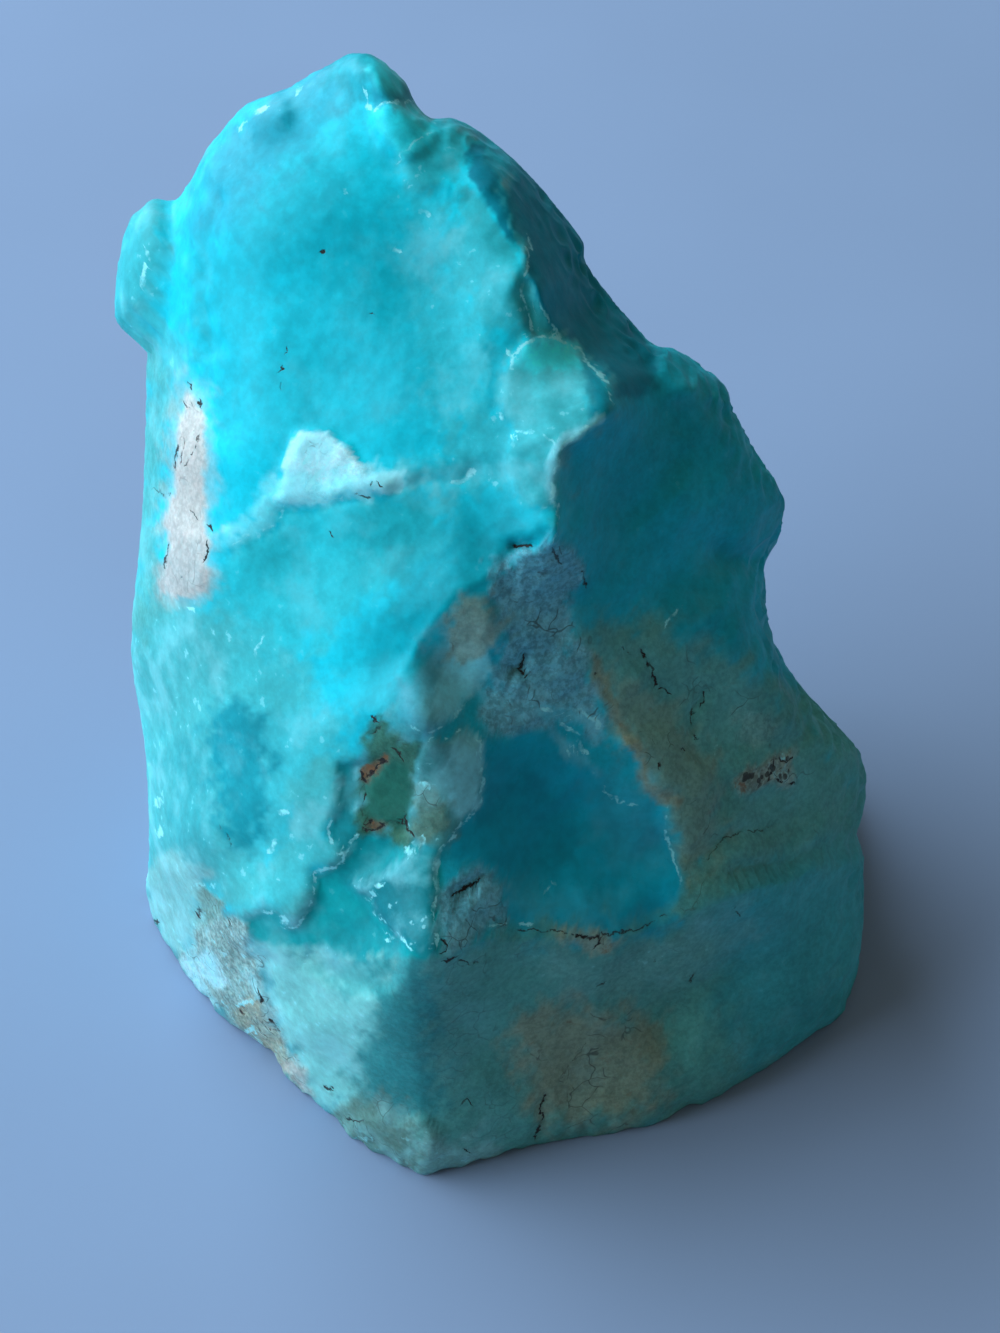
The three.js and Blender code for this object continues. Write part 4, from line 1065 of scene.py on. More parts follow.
        (3.8, -23.6), (10, -23.8), (15, -22.6), (20, -20.1), (21.7, -22), (16.7, -25.7),
        (11.7, -27.8), (5, -27.8),
    )),
    ("pale band left", Surface.BAND_PALE, 1.5, 1.0, (
        (-20.7, -23.3), (-11.7, -24.3), (-8.5, -25.3), (-11.3, -35.3), (-9, -38.6), (-10.8, -39.5),
        (-16.2, -35.5), (-19.8, -27),
    )),
    ("clear strip at the band's top", Surface.HOLLOW, 1.0, 0.5, (
        (-14.2, -24.6), (-8.7, -24.6), (-9, -27), (-11.2, -27.8), (-13.7, -27),
    )),
    # painted shade where the band's front turns away from the light, with the hollow's shadow at its
    # top
    ("turn of the band's front", Surface.SHADED_TURN, 2.0, 0.95, (
        (-9.8, -23.5), (-6.2, -23.5), (-5.7, -28.6), (-5.2, -37), (-8.3, -38.6), (-11.2, -38.6),
        (-12.3, -33.6), (-10.5, -29.5),
    )),
    ("tabs above the hollow", Surface.TAB, 0.35, 0.9, (
        (-13.6, -8.5), (-13.6, -10.3), (-13.2, -11.5), (-14.3, -13.2), (-14.2, -14.5), (-13, -15.7),
        (-11.3, -13.8), (-11.8, -12.4), (-12, -8.6), (-12.8, -8.2),
    )),
    ("hollow", Surface.HOLLOW, 0.3, 1.0, (
        (-13.2, -16.3), (-14.6, -17), (-15.6, -17.2), (-15.4, -18.9), (-16.9, -21.5),
        (-17.7, -21.5), (-18.5, -20.6), (-19.8, -20.5), (-21, -21.1), (-20.3, -22.5),
        (-18.3, -23.1), (-16.7, -23.1), (-14.7, -23.6), (-8.3, -24.2), (-5, -23.9), (-4.5, -19.5),
        (-5.2, -16), (-7.5, -14.6), (-10, -14), (-11.3, -13.8),
    )),
    # painted shade in the darkest end of the hollow
    ("darkest end of the hollow", Surface.TAB, 0.6, 0.95, (
        (-11.3, -14), (-7.8, -14.6), (-7.7, -15.5), (-10.7, -17.5), (-12.5, -18.1), (-12.8, -17),
        (-12.3, -15.5),
    )),
    ("shade at the hollow's foot", Surface.TAB, 0.8, 0.85, (
        (-14.8, -23.1), (-13.3, -21.3), (-11.2, -20.7), (-9.3, -22), (-8.2, -23.6), (-10, -24.2),
        (-12.5, -24),
    )),
    ("shallow left end of the hollow", Surface.MILKY, 0.8, 0.2, (
        (-21.2, -21.1), (-19.8, -20.5), (-18.3, -20.6), (-16.3, -22.8), (-18.3, -23.3),
        (-20.3, -22.6),
    )),
    ("icy flake", Surface.ICY, 0.3, 0.9, (
        (-12.3, -18), (-10.3, -17.5), (-7.2, -15.3), (-4.8, -15.3), (-5.6, -17), (-5.2, -19),
        (-5.5, -21.1), (-5.2, -23.3), (-6.3, -23.7), (-8.2, -23), (-11.3, -19.4),
    )),
    ("milky top of that flake", Surface.MILKY, 0.8, 0.4, (
        (-8.5, -16.6), (-6.3, -15.3), (-4.8, -15.3), (-5.5, -16.8), (-5.3, -18.6), (-8.2, -17.8),
    )),
    ("green surround", Surface.MOSS, 0.7, 0.9, (
        (-11.8, -8.5), (-10.2, -4.1), (-9, -5.5), (-7.3, -6), (-6.8, -7.8), (-7, -10.3),
        (-7.5, -11.6), (-7.3, -14.1), (-9.6, -14.1), (-11.5, -13.6),
    )),
    ("foot of the green surround", Surface.MOSS, 0.6, 0.7, (
        (-11, -13.1), (-7.7, -13), (-7.2, -14.3), (-8.3, -14.7), (-10, -14.2),
    )),
    ("green flake", Surface.FLAKE, 0.3, 1.0, (
        (-5.7, -6.2), (-4.6, -6.1), (-3.4, -5.6), (-2.7, -6.4), (-1.7, -6.2), (-1.8, -7.1),
        (-1.5, -8.2), (-1.7, -11), (-2.2, -12), (-4.3, -14.7), (-5, -15.3), (-6.3, -14.8),
        (-7.4, -13.8), (-7.6, -12.4), (-6.9, -10.3), (-6.9, -8.2), (-6.4, -7.1),
    )),
    # painted light on the flake's top, which the relief shades
    ("lit top of the flake", Surface.PINKISH, 0.8, 0.5, (
        (-5.3, -6.5), (-3.3, -6), (-1.8, -7), (-1.6, -9.9), (-2.3, -11.6), (-4, -11.1), (-5, -9.5),
    )),
    # painted light on the right part of the flake
    ("right part of the flake", Surface.LIT_LOBE, 0.6, 1.0, (
        (-4, -6.8), (-1.7, -6.3), (-1.7, -11), (-2.2, -12), (-3.2, -13), (-4, -11.1),
    )),
    ("olive corner of the flake", Surface.FLAKE_OLIVE, 0.7, 0.9, (
        (-7.4, -11.1), (-6.7, -10), (-5, -10.5), (-4.5, -12.1), (-5, -14.1), (-6.3, -14.5),
        (-7.4, -13.6),
    )),
    ("iron knob", Surface.IRON, 0.4, 0.95, (
        (-11.2, -9.1), (-9.6, -8.3), (-7.7, -8.5), (-7.3, -11.1), (-7.7, -13.3), (-10.8, -12.5),
        (-11.3, -10.8),
    )),
    ("iron stain at its top", Surface.RUSTED, 0.35, 0.9, (
        (-11.9, -8.5), (-10.8, -7.9), (-9.6, -7.6), (-9.5, -8.2), (-10.7, -8.8), (-11.2, -9.5),
    )),
    ("iron stain at its foot", Surface.RUSTED, 0.3, 0.8, (
        (-10.8, -13.1), (-10, -12.8), (-9.2, -13), (-9.5, -13.6), (-10.5, -13.6),
    )),
    ("grainy hollow rim", Surface.MAUVE, 0.8, 0.8, (
        (-4.5, -17.8), (-2.5, -16.8), (-0.5, -17.1), (0.5, -18.6), (0, -21.6), (-2.5, -23.2),
        (-4.8, -23.3), (-5.2, -21.1),
    )),
    ("rusty crack line", Surface.OCHRE, 0.5, 0.55, (
        (5, -22), (8.3, -22.1), (10.2, -22.6), (8.8, -23.8), (7.2, -23.8), (5.8, -23.1),
    )),
    ("front corner of the band", Surface.CORNER, 1.8, 0.8, (
        (-9.6, -38.6), (-7.5, -37.4), (-5, -39.5), (0, -40.3), (-5, -43.6), (-9.2, -43.6),
        (-10.4, -41.1),
    )),
    ("dull lit corner", Surface.DULL, 1.3, 1.0, (
        (-13.5, -36.1), (-11.5, -35.5), (-9.6, -36.1), (-7.7, -37.8), (-7.3, -42.8), (-9.6, -42.1),
        (-12.3, -39.9), (-13.8, -37.6),
    )),
    ("brown patch", Surface.BROWN, 2.1, 0.8, (
        (2.1, -29), (5, -28.2), (12.9, -29.9), (13.3, -36.1), (9.2, -37.8), (4.6, -38.2),
        (1.7, -34.5), (1.2, -31.1),
    )),
    ("rock strip", Surface.ROCK, 0.45, 0.95, (
        (-25.6, -18.6), (-23.8, -19), (-22.7, -20.7), (-21.3, -21.6), (-19.8, -26.5),
        (-18.8, -28.5), (-16, -35.5), (-17, -35.5), (-18.8, -33.3), (-19.8, -31.3), (-21.7, -30.3),
        (-25.8, -26.5), (-27.1, -24.2), (-25.8, -22.8), (-25.2, -20.6),
    )),
    ("green stain at its top", Surface.MOSS, 0.6, 0.5, (
        (-25.5, -18.8), (-24, -18.8), (-23, -20.5), (-23.7, -21.1), (-25, -20.6),
    )),
    ("white crystals", Surface.SUGAR, 0.35, 0.65, (
        (-25.2, -24), (-24.5, -23.6), (-23.8, -24.1), (-23.2, -25.1), (-22.8, -26.1),
        (-23.5, -26.6), (-24.7, -26.1),
    )),
    ("pale crystals beside them", Surface.SUGAR, 0.8, 0.5, (
        (-26.5, -25), (-25.3, -24.6), (-24.5, -26.5), (-25, -27.5), (-26, -26.6),
    )),
    ("ochre foot", Surface.OCHRE, 0.7, 0.6, (
        (-21.8, -28.2), (-19.8, -27.8), (-16.8, -34), (-17.9, -34.5), (-19.3, -31.6),
        (-21.3, -30.3),
    )),
    ("pinkish foot", Surface.CHALK, 0.6, 0.6, (
        (-18.2, -33.3), (-16.8, -33.3), (-16, -35.3), (-16.8, -35.5),
    )),
    ("pale bulge", Surface.BULGE, 0.6, 0.85, (
        (-29.5, -17.8), (-28.7, -16.3), (-27.3, -15.5), (-25.7, -16), (-24.5, -17.5),
        (-25.3, -18.6), (-25.2, -20.5), (-25.8, -22.5), (-26.7, -23.6), (-27.5, -23.8),
        (-28.3, -22.5),
    )),
))


@dataclass(frozen=True)
class LineMark:
    """A thin line on the stone, such as a dark crack, a pale see-through rim or a painted glint.

    Attributes:
        strength: How strongly the line shows.
        line: The line's course on the sheet.
    """

    strength: float
    line: Line


CRACKS = tuple(LineMark(*mark) for mark in (
    (1.4, ((11.8, 1.4), (12, 0.9))),
    (1.2, ((12.3, 0.5), (12.5, 0), (12.9, -0.4))),
    (1.6, ((12.8, -0.8), (13.1, -1.3), (13, -1.6))),
    (1.0, ((13.5, -1.9), (14.2, -2.2))),
    (0.7, ((10.5, 1.7), (10.9, 1.4))),
    (0.8, ((16.9, -2), (16.8, -2.8), (16.5, -3.6))),
    (0.7, ((15.8, -3.6), (15.9, -4.6), (16.1, -5.5), (16.6, -5.9))),
    (0.6, ((17.3, -16), (18.1, -14.9), (19, -14.3), (20.2, -13.8), (21.4, -13.5), (22.6, -13.2))),
    (0.7, ((-0.2, -21.6), (2.5, -21.9), (5, -22.2), (8.3, -22.3), (11.7, -21.7), (14, -20.6))),
    (1.5, ((6.5, -22.4), (7.3, -22.6), (8.2, -22.5))),
    (1.3, ((8.2, -22.8), (7.8, -23.5))),
    (1.0, ((3.8, -35.7), (3.4, -36.8), (3.6, -37.5), (3.3, -38.3), (3, -39.3))),
    (0.5, ((6.9, -31.3), (6.2, -32.6), (5.2, -34.1))),
    (1.9, ((-3.5, -19), (-2.8, -18.4), (-2.2, -18.1), (-1.7, -17.8))),
    (1.7, ((1.2, 10), (1.9, 10), (2.6, 10))),
    (1.3, ((2, 1), (1.8, 0.4), (1.4, -0.1))),
    (1.1, ((2.3, -0.2), (1.9, -1))),
    (1.2, ((4.3, 9.7), (4.8, 9), (5.1, 8.7))),
    (1.1, ((7, 8), (7.2, 7.4), (7.3, 6.8))),
    (0.8, ((8, 0.8), (7.5, 0), (8, -0.5))),
    (0.9, ((-9.6, -8), (-10.5, -8.6), (-11.1, -9.3), (-11.3, -10.3), (-11.5, -11.1))),
    (1.0, ((-11.5, -11.8), (-11.2, -12.3), (-10.7, -12.8))),
    (1.0, ((-11.4, -13.6), (-10.3, -13.5), (-9.2, -12.8), (-8, -13.1))),
    (1.0, ((-7.8, -12.1), (-7.7, -13), (-7.2, -14))),
    (1.5, ((-10.7, -4.1), (-10.4, -4.6))),
    (1.1, ((-10, -5), (-10.6, -5.5))),
    (1.6, ((-8.8, -7), (-8.4, -7.4))),
    (1.2, ((-8.6, -7.6), (-8.3, -8))),
    (1.3, ((-25.9, 23.8), (-25.7, 23.2))),
    (1.3, ((-26.3, 21.9), (-26, 21.6))),
    (1.3, ((-25, 22.3), (-24.8, 21.8))),
    (0.8, ((-25.5, 21), (-25.8, 19.7))),
    (0.8, ((-26.5, 19.2), (-27.1, 17), (-27.3, 15.5))),
    (0.8, ((-27.7, 10.2), (-27.9, 9), (-28.1, 8.2))),
    (0.9, ((-24.5, 10.5), (-24.3, 9.5), (-24.6, 8.9))),
    (0.7, ((-25, 19.2), (-25.6, 17.9), (-26.2, 16.7))),
    (0.6, ((-29, 14.9), (-28.3, 14.6), (-27.5, 14.3))),
    (1.8, ((-24.2, 12), (-23.9, 11.6))),
    (1.1, ((-26.5, 7.7), (-26.2, 7.5))),
    (0.8, ((-25.8, 12.9), (-25.2, 12.4))),
    (0.9, ((-18, 27.7), (-18, 27.4))),
    (0.9, ((-17.9, 26.4), (-17.9, 26))),
    (0.9, ((-18, 25), (-18.1, 24.7))),
    (1.0, ((-18, 23.7), (-18.1, 23.3))),
    (1.5, ((-14.9, 34.5), (-14.7, 34.6))),
    (0.9, ((-10.8, 29.5), (-10.6, 29.5))),
    (1.1, ((-10.8, 15), (-10.6, 15.5))),
    (1.0, ((-10, 15.3), (-9.8, 15.1))),
    (0.7, ((-11.9, 14.4), (-11, 14))),
    (0.9, ((-14.3, 11), (-14.1, 10.8))),
    (0.5, ((-23.3, -12.4), (-22.3, -15.3))),
    (1.2, ((-25.3, -19.9), (-25, -20.7))),
    (1.1, ((-22.8, -21.1), (-22.5, -21.6))),
    (1.5, ((-20.3, -27.1), (-19.9, -27.8))),
    (0.9, ((-19.2, -29.3), (-18.2, -30.3))),
    (1.5, ((-14.6, -35), (-14.1, -35.3))),
    (1.1, ((-12.7, -37.4), (-12, -37.8), (-11.4, -38))),
    (1.3, ((-28.8, -21.1), (-28.5, -21.5))),
    (1.2, ((-4.7, -22.9), (-4.4, -23.2))),
    (1.2, ((-4.5, -24.3), (-3.7, -24))),
    (0.7, ((-3.5, -24.6), (-2.7, -25.1), (-2, -24.8))),
    (0.9, ((-3.2, -36.5), (-2.8, -36), (-2.5, -36.8))),
    (0.8, ((-2.8, -40.3), (-2.4, -40.5))),
    (0.8, ((8.3, -26.6), (8.9, -26.2))),
    (0.8, ((15.5, -26.3), (16, -25.6))),
    (0.7, ((12.3, -25), (12.8, -24.5))),
    (0.8, ((22, -9.6), (22.4, -9), (22.7, -8.3))),
    (0.9, ((23.1, -7.6), (23.6, -8), (24.2, -7.5))),
    (0.9, ((23, -9.5), (23.7, -10), (24.5, -9.8))),
    (0.8, ((13.5, -7.5), (13.3, -8.5))),
    (1.0, ((15.2, -6.9), (15.4, -7))),
    (0.9, ((15.8, 18.7), (16.1, 18.4))),
    (0.6, ((12.5, -21.5), (13, -21))),
    (0.7, ((19.8, -19.9), (20.2, -20.5))),
))

# pale rims along the lit edges of knobs, flakes and lobes, partly painted highlight, and short
# strokes that are painted glints
RIMS_AND_GLINTS = tuple(LineMark(*mark) for mark in (
    (1.2, ((7.4, 20), (6.5, 19.4), (5.7, 18.8), (5, 18))),
    (0.9, ((5, 18), (4.8, 16.8), (4.8, 15.5), (4.7, 14.3), (4.8, 13.4))),
    (0.5, ((4.8, 13.4), (4.8, 12.4), (4.6, 11.2), (4.2, 10.1))),
    (0.8, (
        (1.2, 26.2), (2.3, 27.1), (3.8, 27.4), (5.3, 27.1), (6.7, 26.3), (7.8, 25.2), (8.7, 23.9),
        (9.4, 22),
    )),
    (0.6, ((3.3, 30.2), (4.2, 29), (5, 27.5))),
    (0.6, ((1.3, 19.6), (2.5, 19.7), (3.5, 19.5), (4.2, 18.8), (4.7, 17.8))),
    (0.6, ((2.9, 13.5), (3.8, 13.4), (4.7, 13.4))),
    (1.1, ((-3.8, 15.4), (-2.9, 15.7), (-2.1, 16.2))),
    (1.2, ((-17.5, 15), (-16.5, 16.4), (-15.7, 18))),
    (1.2, ((-16.3, 14.5), (-15.2, 16), (-14.2, 17.5))),
    (1.2, ((-14.8, 14.7), (-13.5, 16.2), (-12.5, 16.7))),
    (0.7, ((2.3, 36.2), (2.5, 34.3), (2.2, 32.6), (1.7, 30.5), (2.2, 29.4), (2.6, 28))),
    (0.7, (
        (-5.7, -6.2), (-4.6, -6.1), (-3.4, -5.6), (-2.7, -6.4), (-1.7, -6.2), (-1.8, -7.1),
        (-1.5, -8.2), (-1.6, -9.9), (-1.7, -11), (-2.2, -12), (-3.2, -13.1), (-4.3, -14.7),
        (-4.9, -15.4),
    )),
    (1.2, ((-4.9, -15.4), (-5.5, -16.8), (-5.4, -18), (-5.2, -19))),
    (0.7, ((-5.2, -19), (-5.5, -21.1), (-5.2, -23.3))),
    (0.8, ((-11.3, -19.4), (-9.6, -21.3), (-8.2, -23), (-7.3, -23.6))),
    (0.8, ((-11.4, -13.8), (-12.1, -14.5), (-13, -15.6))),
    (0.7, (
        (-13.3, -11.5), (-14.2, -13), (-14, -15), (-13.2, -16.3), (-14.6, -16.9), (-15.5, -17.1),
        (-15.5, -18.9), (-16.2, -20.3), (-16.9, -21.5), (-17.7, -21.5), (-18.5, -20.6),
        (-19.7, -20.4),
    )),
    (0.5, ((-22.3, 10.1), (-20.7, 11.1), (-18.7, 12), (-17.7, 13.6), (-14.8, 13.9), (-12.9, 14.2))),
    (0.6, ((-2.8, -3.1), (-4, -4.4), (-5.3, -5.4), (-6.7, -5.2), (-7.7, -4))),
    (1.0, ((3.8, -3.5), (5.4, -3.3), (7.1, -4), (8.3, -5.1))),
    (0.9, ((4.5, -6), (5.8, -7.3))),
    (0.8, ((5.2, -4.8), (6.7, -6.3), (8, -8))),
    (0.7, ((8.7, -10.1), (10, -11.1), (11.3, -11.6))),
    (0.6, ((14, -11.6), (13.9, -13.6), (14.2, -15.7), (15.1, -18.5))),
    (0.7, ((-10.5, 46.3), (-9.7, 46.8), (-8.7, 47), (-7.5, 46.9), (-6.3, 46.2), (-5.2, 45.4))),
    (0.5, ((-5.2, 44.7), (-6.7, 43.9), (-7.9, 43.1), (-8.5, 42))),
    (0.7, ((-0.8, -21.8), (0.5, -21.6), (1.7, -21.4), (2.5, -21.5))),
    (0.8, ((3.8, -18.9), (4.2, -18.3), (4.8, -18), (5.7, -17.9))),
    (0.7, ((13.7, 3.3), (14.3, 4.2), (15.2, 5))),
    (0.6, ((17.7, -6), (18, -6.8), (18, -7.5))),
    (1.0, ((23.3, -7.5), (23.7, -7.8))),
    (0.6, ((-25.7, -18.5), (-24.5, -18.5), (-24, -18.4))),
    (1.6, ((-28.7, -11.1), (-28.5, -11.6))),
    (1.5, ((-28.4, -13.3), (-28.3, -14))),
    (1.7, ((-18.3, -12.1), (-17.8, -12.3))),
    (1.5, ((-19.3, -15.5), (-18.8, -14.6))),
    (0.6, ((-19.8, 2.9), (-20.3, 0.9))),
    (1.0, ((-26, 4.9), (-25.5, 4.5))),
    (2.2, ((-6.3, -9.7), (-6.1, -10.3))),
    (3.0, ((-6.5, -14.1), (-6.7, -14.7))),
    (2.0, ((-7.5, -15), (-7.7, -15.8))),
    (1.2, ((-10.4, -18.1), (-10.2, -18.4))),
    (1.1, ((-9.6, -22.8), (-9.2, -23.1))),
    (1.2, ((-8.8, 34.8), (-8.3, 34.5))),
    (1.3, ((-29.5, 34.5), (-29.2, 33.7))),
    (1.2, ((-29.7, 32.9), (-29.4, 31.9))),
    (1.3, ((-20.5, 46), (-19.6, 46.5))),
    (0.9, ((-16.8, 47.9), (-16.2, 48.7))),
    (0.8, ((-21.7, 44.5), (-21.3, 45.4))),
    (1.3, ((-11.2, 47.9), (-11, 47.4))),
    (1.3, ((-10.9, 46.9), (-10.8, 46.4))),
    (0.9, ((-6.8, 37.7), (-6.3, 38), (-5.8, 37.5))),
    (0.9, ((-12.9, 39.7), (-12.7, 39.5))),
    (0.9, ((0.7, 26.4), (1.2, 24.9))),
    (0.7, ((-0.3, 21.5), (0.3, 20.5))),
    (0.8, ((0.8, 19.2), (1.1, 18.4))),
    (1.4, ((-21.2, -30.3), (-20.7, -30))),
    (1.4, ((-20.3, -30.8), (-19.8, -31.1))),
    (1.1, ((-22, -28.3), (-21, -28), (-20.5, -27.8))),
    (0.8, ((-12.3, -39.3), (-10.7, -39.5))),
))


# ---------------------------------------------------------------- the stone
@dataclass(frozen=True)
class DrawingSheet:
    """The leaning sheet that the front of the stone is laid out on.

    Attributes:
        lean_deg: How far the sheet leans back.
        height: Height of its middle above the table.
        eye_distance: Distance from the middle to the eye that looks at it.
        base_middle: Middle of the stone's base box in the sheet's own plan.
    """

    lean_deg: float = 45.0
    height: float = 30.0
    eye_distance: float = 262.0
    base_middle: Point = (-0.069, -1.982)

    @cached_property
    def middle(self) -> Array:
        """Middle of the sheet, in the sheet's own plan."""
        return np.array([0.0, 0.0, self.height])

    @cached_property
    def up(self) -> Array:
        """Direction up the sheet."""
        lean = math.radians(self.lean_deg)
        return np.array([0.0, math.sin(lean), math.cos(lean)])

    @cached_property
    def near(self) -> Array:
        """Direction from the sheet towards the eye."""
        lean = math.radians(self.lean_deg)
        return np.array([0.0, -math.cos(lean), math.sin(lean)])

    def place_on(self, places: Array) -> tuple[Array, Array]:
        """Find where sight lines through places cross the sheet.

        Args:
            places: Places in millimetres, one row each.

        Returns:
            The places on the sheet, and how near each comes to the eye.
        """
        offset = places - self.middle
        near = offset @ self.near
        spread = 1.0 - near / self.eye_distance
        across_up = np.stack([offset[:, 0] / spread, offset @ self.up / spread], axis=1)
        return across_up, near


@dataclass
class SheetTable:
    """Values worked out once on a fine grid of the sheet, then looked up between its points.

    Attributes:
        low: Lower left corner of the grid.
        high: Upper right corner of the grid.
        step: Distance between grid points.
    """

    low: Point = (-42.0, -50.0)
    high: Point = (42.0, 60.0)
    step: float = 0.3
    values: dict[str, Array] = field(default_factory=dict)

    @cached_property
    def counts(self) -> tuple[int, int]:
        """Number of grid points across and up."""
        sides = np.array(self.high) - self.low
        return tuple(int(side / self.step) + 1 for side in sides)

    @cached_property
    def places(self) -> Array:
        """Lay out the grid.

        Returns:
            All grid points, one row each, across first.
        """
        across = self.low[0] + self.step * np.arange(self.counts[0])
        up = self.low[1] + self.step * np.arange(self.counts[1])
        grid = np.meshgrid(across, up)
        return np.stack([grid[0].ravel(), grid[1].ravel()], axis=1)

    def store(self, name: str, values: Array) -> None:
        """Keep one value per grid point under a name."""
        self.values[name] = values.reshape(self.counts[1], self.counts[0])

    def look_up(self, name: str, places: Array) -> Array:
        """Look a value up between grid points.

        Args:
            name: Name the values were stored under.
            places: Places on the sheet, one row each.

        Returns:
            The bilinear mix of the four nearest grid points' values.
        """
        table = self.values[name]
        spot = (places - np.array(self.low)) / self.step
        spot = np.clip(spot, 0.0, np.array(self.counts) - 1.001)
        cell = spot.astype(int)
        fx, fy = (spot - cell).T
        ix, iy = cell.T
        lower = table[iy, ix] * (1 - fx) + table[iy, ix + 1] * fx
        upper = table[iy + 1, ix] * (1 - fx) + table[iy + 1, ix + 1] * fx
        return lower * (1 - fy) + upper * fy


@dataclass(frozen=True)
class BackKnobs:
    """The rounded botryoidal domes that cover the back, spread evenly over all directions.

    Attributes:
        count: Number of domes over the whole ball of directions.
        depth: Depth of the valleys between them.
        jitter: How far each is moved off its even place.
        spread: Squared angle from a dome's top to the foot of its valley.
    """

    count: int = 110
    depth: float = 2.2
    jitter: float = 0.16
    spread: float = 0.05

    # the turn between tops, the rates that make shakes and sizes look random, the smallest
    # size and what is added to it, the deepest valley as a share, and a gap above any other
    GOLDEN_ANGLE = 2.399963
    SHAKE_RATES = (12.9898, 78.233, 37.719)
    SIZE_RATE = 7.7
    SMALLEST = 0.75
    SIZE_RANGE = 0.5
    DEEPEST = 1.2
    FAR = 9.0

    @cached_property
    def numbers(self) -> Array:
        """Numbers of the domes, counted from one half."""
        return np.arange(self.count) + 0.5

    @cached_property
    def tops(self) -> Array:
        """Spread the dome tops.

        Returns:
            Their directions: an even spiral on a ball, with each moved a little.
        """
        rise = 1 - 2 * self.numbers / self.count
        around = np.sqrt(1 - rise**2)
        turn = self.GOLDEN_ANGLE * self.numbers
        tops = np.stack([around * np.cos(turn), around * np.sin(turn), rise], axis=1)
        shake = np.stack([np.sin(self.numbers * rate) for rate in self.SHAKE_RATES], axis=1)
        return tops + self.jitter * shake

    @cached_property
    def sizes(self) -> Array:
        """Relative sizes of the domes."""
        return self.SMALLEST + self.SIZE_RANGE * np.sin(self.numbers * self.SIZE_RATE) ** 2

    def valley(self, directions: Array) -> Array:
        """Work out how deep the valleys cut.

        Args:
            directions: Unit directions from the stone's core, one row each.

        Returns:
            Depth, 0 on a dome's top and growing with the squared angle to the nearest one.
        """
        nearest = np.full(len(directions), self.FAR)
        for top, size in zip(self.tops, self.sizes):
            gap = ((directions - top) ** 2).sum(axis=1) / size**2
            nearest = np.minimum(nearest, gap)
        return self.depth * np.clip(nearest / self.spread, 0, self.DEEPEST)


# Mean of a noise folded at 0.
RIDGED_MEAN = 0.4


